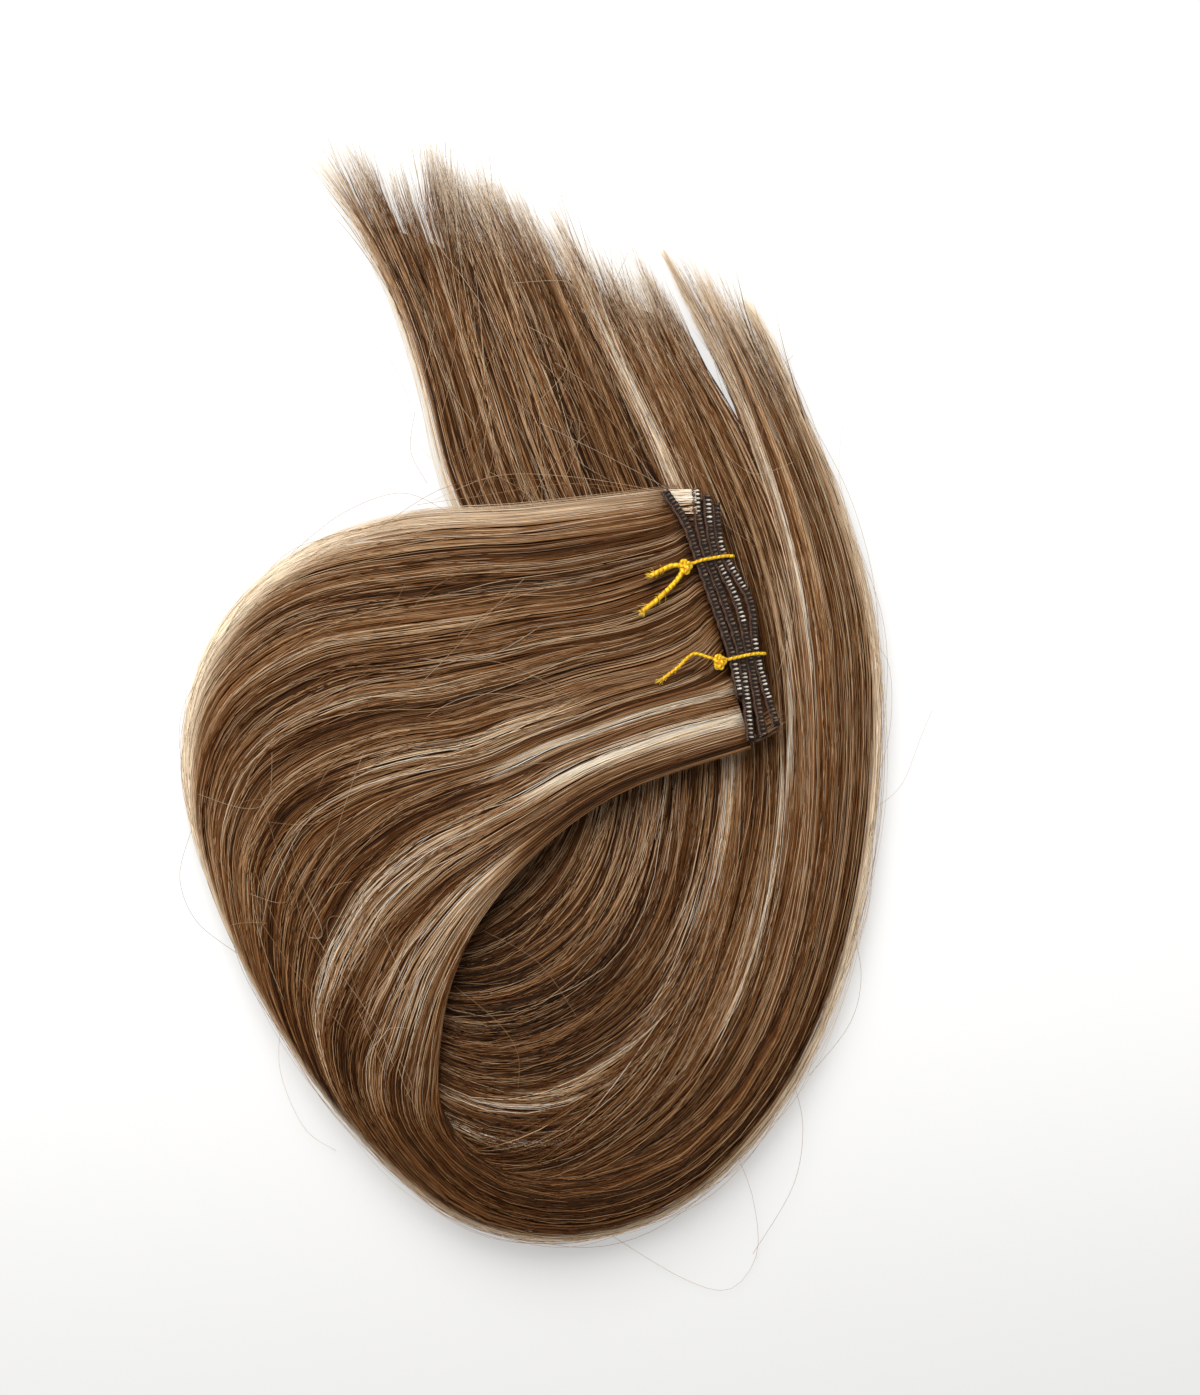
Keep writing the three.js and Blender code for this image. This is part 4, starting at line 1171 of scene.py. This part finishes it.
def plied(route, radius, random):
    """Three plies twisted round a route, each painted with its own flickering mix of glinting and shaded
    gold: painted highlights and painted shade.
    """
    path, run = even_path(route, PLY_PITCH / PLY_STEPS)
    _, side, top = carried_frame(path)
    plies = []
    for ply in range(PLIES):
        angle = 2 * np.pi * (run / PLY_PITCH + ply / PLIES)
        lay = path + PLY_OFFSET * radius * (np.cos(angle)[:, None] * side + np.sin(angle)[:, None] * top)
        share = np.clip(0.3 * ply + random.uniform(-0.3, 0.5, len(path)), 0, 1)[:, None]
        plies.append((lay, PLY_RADIUS * radius, GOLD_PAINTED_GLINT * (1 - share) + GOLD_PAINTED_CREASE_SHADE * share))
    return plies


def frayed(end, heading, count, length, random):
    """Loose fibres at a cut end, or along a worn stretch."""
    fibres = []
    for _ in range(count):
        lean = heading + random.normal(0, 0.45, 3)
        lean[2] = np.abs(lean[2]) * 0.3
        lean /= np.linalg.norm(lean)
        curl = random.normal(0, 0.5, 3)
        curl[2] = -0.3
        reach = length * random.uniform(0.4, 1)
        share = np.linspace(0, 1, FRAY_STEPS)[:, None]
        fibre = end + reach * (lean * share + FRAY_CURL * curl * share ** 2)
        fibres.append((fibre, FRAY_RADII, GOLD_FRAY))
    return fibres


def loop_route(crossing, knot):
    """From the knot over the crown of every row, down beside the last one, back under the roots and up."""
    rise = TRACK_HEIGHT + SEAT_GAP + CORD_RADIUS
    route = [knot]
    for number, row in enumerate(TRACK_ROWS):
        x, y = row[crossing]
        route.append([x + CROWN_SHARE * TRACK_WIDTH, y, TOP_ROW_LIFT - number * ROW_DROP + rise])
    first = route[1]
    last = route[-1]
    beside = last[0] + BESIDE_SHARE * TRACK_WIDTH + SEAT_GAP + CORD_RADIUS
    below = HEAD_UNDERSIDE - SEAT_GAP - CORD_RADIUS
    route.append([beside, last[1], last[2] - rise + TRACK_HEIGHT / 2])
    route.append([beside, last[1], HEAD_UNDERSIDE])
    route.append([last[0], last[1], below])
    route.append([first[0], first[1], below])
    route.append([knot[0] - CORD_RADIUS, knot[1], (below + knot[2]) / 2])
    route.append(knot)
    return route


def knot_route(knot, size):
    """The overhand knot: a small three-lobed tangle of the cord."""
    angle = np.linspace(0, 2 * np.pi, 25)
    wide = size * (1.05 + 0.6 * np.cos(3 * angle))
    x = wide * np.cos(2 * angle)
    y = wide * np.sin(2 * angle)
    z = 0.55 * size * np.sin(3 * angle)
    return np.array(knot) + np.stack([x, y, z], axis=-1)


GOLD_FINISH = gold_material("gold metallised yarn")
random = np.random.default_rng(101)
for name, tie in TIES.items():
    knot = np.array(tie["knot"])
    tight = LOOP_THICKNESS * CORD_RADIUS
    parts = plied(loop_route(tie["crossing"], tie["knot"]), tight, random)
    parts += plied(knot_route(knot, KNOT_SIZES[0]), tight, random)
    second = (knot_route(knot, KNOT_SIZES[1]) - knot)[:, [1, 0, 2]] * SECOND_KNOT_SCALE
    parts += plied(knot + second + SECOND_KNOT_SHIFT, tight, random)
    for tail, thickness in zip(tie["tails"], tie["thickness"]):
        route = np.array([tie["knot"], *tail])
        parts += plied(route, thickness * CORD_RADIUS, random)
        end_heading = route[-1] - route[-2]
        end_heading = end_heading / np.linalg.norm(end_heading)
        parts += frayed(route[-1] - END_START * end_heading, end_heading, END_FIBRES, END_FRAY, random)
        worn, _ = even_path(route, WORN_SPACING)
        for spot in worn[len(worn) // 2:]:
            parts += frayed(spot, end_heading, WORN_FIBRES, WORN_FRAY * thickness, random)
    cord = tubes_object(name + "_cord", parts, THREAD_SIDES, GOLD_FINISH)
    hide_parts(name)

# Loose hairs: fine strays that stand off the outline or cross the falls, each held in the track or the
# tie somewhere out of sight. They are single hairs, so they show only as thin lines.
# Strays traced one by one in plan, as x, y and height along each hair
STRAYS = [
    [[81, -60, 4], [83, -72, 5], [80, -84, 5], [70, -97, 3]],
    [[66, -98, 3], [68.5, -110, 3], [66, -125, 2], [56, -142, 1]],
    [[52, -117, 3], [56, -128, 2], [57, -142, 1], [50, -151, 1], [38, -148, 1], [20, -137, 2]],
    [[86, -30, 4], [93, -24, 5], [98, -12, 4], [101, -5, 3]],
    [[-62, -80, 4], [-63, -95, 3], [-57, -110, 2], [-49, -116, 1]],
    [[-85, -35, 4], [-88, -47, 4], [-84, -58, 3], [-74, -66, 3]],
    [[-30, 72, 3], [-36, 84, 3], [-44, 89, 2]],
    [[-25, 58, 3], [-33, 66, 4], [-39, 68, 3]],
    [[-26, 52, 3], [-30, 60, 4], [-29, 70, 3]],
    [[-20, 44, 16], [-32, 49, 13], [-47, 44, 9], [-60, 34, 6]],
    [[30, 49, 18.5], [10, 51, 19], [-12, 48, 18], [-28, 46, 14]],
    [[33, 49, 18.5], [12, 52.5, 19], [-8, 53, 18], [-24, 47, 14]],
    [[26, 48, 18.5], [2, 52, 19], [-20, 50.5, 16], [-38, 40, 11]],
    [[-19, -74, 8], [-8, -83, 9], [-3, -91, 9], [-3, -100, 8.5]],
    [[-12, -60, 8], [2, -68, 9], [12, -82, 9]],
    [[79, 70, 4], [77.5, 54, 5], [82, 36, 5]],
    [[50, 46, 8], [57, 60, 8], [60, 76, 7], [66, 84, 5]],
    [[62, 44, 8], [58, 60, 8], [50, 70, 7], [44, 90, 5]],
    [[48, 60, 7], [56, 54, 8], [66, 57, 7]],
    [[20, 60, 7], [34, 72, 7], [48, 74, 6]],
    [[-5, 102, 5], [8, 102.5, 6], [12, 100, 5]],
    [[84, 14, 5], [90, 6, 5], [90, -12, 4], [84, -30, 3]],
    [[60, 52, 8], [64, 40, 8.5], [66, 20, 8.5], [62, 4, 8.5]],
]
STRAY_STEPS = 18
STRAY_RADIUS = 0.05
random = np.random.default_rng(111)
stray_paths = []
for hair in STRAYS:
    stray_paths.append(along(np.array(hair, dtype=float), np.linspace(0, len(hair) - 1, STRAY_STEPS)))
tone = np.broadcast_to(random.uniform(0.45, 0.9, (len(STRAYS), 1)), (len(STRAYS), STRAY_STEPS))
strands_object("hair_strays", np.stack(stray_paths), np.full(tone.shape, STRAY_RADIUS), tone)

# Short hairs all along the outer edge of the upper fall that bow out and come back
HALO_STRANDS = 130
HALO_STEPS = 14
HALO_RADIUS = 0.045
HALO_LOWEST = 0.2
start = random.uniform(0.6, 16.2, HALO_STRANDS)
place = start[:, None] + random.uniform(0.7, 2.2, HALO_STRANDS)[:, None] * np.linspace(0, 1, HALO_STEPS)
bow = random.uniform(0.4, 3.2, HALO_STRANDS)[:, None] * np.sin(np.linspace(0, np.pi, HALO_STEPS))
turn = np.broadcast_to(random.uniform(0.05, 0.5, HALO_STRANDS)[:, None], place.shape)
paths, _, _ = strand_points(UPPER_FALL, place, turn, bow)
paths[..., 2] = np.maximum(paths[..., 2], HALO_LOWEST)
tone = np.broadcast_to(random.uniform(0.4, 0.9, (HALO_STRANDS, 1)), place.shape)
strands_object("hair_halo", paths, np.full(tone.shape, HALO_RADIUS), tone)

# Fine light hairs that lie on the falls and cross the others at a slant
CROSSING_STEPS = 14


def crossing_hairs(name, seed, count, fall, first_row, last_row):
    """Single hairs on top of a fall, which start anywhere between two of its rows."""
    random = np.random.default_rng(seed)
    share = np.linspace(0, 1, CROSSING_STEPS)[None, :]
    start = random.uniform(first_row, last_row, count)[:, None]
    place = start + random.uniform(0.5, 1.5, count)[:, None] * share
    slant = random.normal(0, 0.16, count)[:, None]
    bow = random.normal(0, 0.05, count)[:, None]
    across = random.uniform(0.12, 0.88, count)[:, None]
    across = across + slant * (share - 0.5) + bow * np.sin(np.pi * share)
    turn = np.arccos(1 - 2 * np.clip(across, 0.03, 0.97))
    lift = np.broadcast_to(random.uniform(0.7, 1.1, count)[:, None], place.shape)
    paths, _, _ = strand_points(fall, place, turn, lift)
    tone = np.broadcast_to(random.uniform(0.55, 0.9, (count, 1)), place.shape)
    strands_object(name, paths, np.full(place.shape, STRAY_RADIUS), tone)


crossing_hairs("hair_crossing_lower", 121, 60, LOWER_FALL, 13.2, 16.2)
crossing_hairs("hair_crossing_upper", 131, 36, UPPER_FALL, 0.6, 6.5)

# The floor is a plain white table top that glows a little of itself, a painted light that lifts the shadows
# on it, lit softly from above and behind, with the camera straight over the middle of the photograph's
# frame.
FLOOR_REACH = 2.0
FLOOR_LEVEL = -0.0004
floor_mesh = bpy.data.meshes.new("floor")
floor_corners = []
for side_x, side_y in ((-1, -1), (1, -1), (1, 1), (-1, 1)):
    floor_corners.append((side_x * FLOOR_REACH, side_y * FLOOR_REACH, FLOOR_LEVEL))
floor_mesh.from_pydata(floor_corners, [], [(0, 1, 2, 3)])
floor = bpy.data.objects.new("floor", floor_mesh)
bpy.context.scene.collection.objects.link(floor)
floor_finish, floor_nodes, floor_links, floor_shader = new_material("white table top")
floor_shader.inputs["Base Color"].default_value = (0.48, 0.48, 0.475, 1)
floor_shader.inputs["Emission Color"].default_value = (1, 0.995, 0.985, 1)
floor_spot = floor_nodes.new("ShaderNodeTexCoord")
floor_axes = floor_nodes.new("ShaderNodeSeparateXYZ")
# Painted light: the floor glows of itself, a little less towards the bottom of the frame, which lifts the
# shadows on it
floor_painted_glow = floor_nodes.new("ShaderNodeMapRange")
floor_painted_glow.inputs["From Min"].default_value = -0.19
floor_painted_glow.inputs["From Max"].default_value = -0.04
floor_painted_glow.inputs["To Min"].default_value = 0.3
floor_painted_glow.inputs["To Max"].default_value = 0.44
floor_painted_glow.interpolation_type = "SMOOTHSTEP"
floor_links.new(floor_spot.outputs["Object"], floor_axes.inputs["Vector"])
floor_links.new(floor_axes.outputs["Y"], floor_painted_glow.inputs["Value"])
floor_links.new(floor_painted_glow.outputs["Result"], floor_shader.inputs["Emission Strength"])
floor_shader.inputs["Roughness"].default_value = 0.6
floor_shader.inputs["Specular IOR Level"].default_value = 0.2
floor_mesh.materials.append(floor_finish)

world = bpy.data.worlds.new("white room")
world.use_nodes = True
world.node_tree.nodes["Background"].inputs["Color"].default_value = (1, 0.995, 0.985, 1)
world.node_tree.nodes["Background"].inputs["Strength"].default_value = 0.5
bpy.context.scene.world = world

WINDOW_PLACE = (-0.22, 0.5, 0.68)
WINDOW_AIM = (0, 0.03, 0)
lamp = bpy.data.lights.new("window", "AREA")
lamp.shape = "SQUARE"
lamp.size = 0.8
lamp.energy = 11
window = bpy.data.objects.new("window", lamp)
window.location = WINDOW_PLACE
window_heading = Vector(np.array(WINDOW_AIM) - np.array(WINDOW_PLACE))
window.rotation_euler = window_heading.to_track_quat("-Z", "Y").to_euler()
bpy.context.scene.collection.objects.link(window)

PHOTO_HEIGHT = 1395
MM_PER_PIXEL = 0.25
LENS = 100.0
SENSOR = 36.0
FRAME_MIDDLE = (0.0175, -0.0019)
FRAME_HEIGHT = PHOTO_HEIGHT * MM_PER_PIXEL * MM
SCALE_LEVEL = 0.008  # height at which the frame's scale holds
camera_data = bpy.data.cameras.new("camera")
camera_data.lens = LENS
camera_data.sensor_fit = "VERTICAL"
camera_data.sensor_height = SENSOR
camera = bpy.data.objects.new("camera", camera_data)
camera.location = (*FRAME_MIDDLE, SCALE_LEVEL + FRAME_HEIGHT * LENS / SENSOR)
bpy.context.scene.collection.objects.link(camera)
bpy.context.scene.camera = camera
bpy.context.scene.view_settings.view_transform = "Standard"
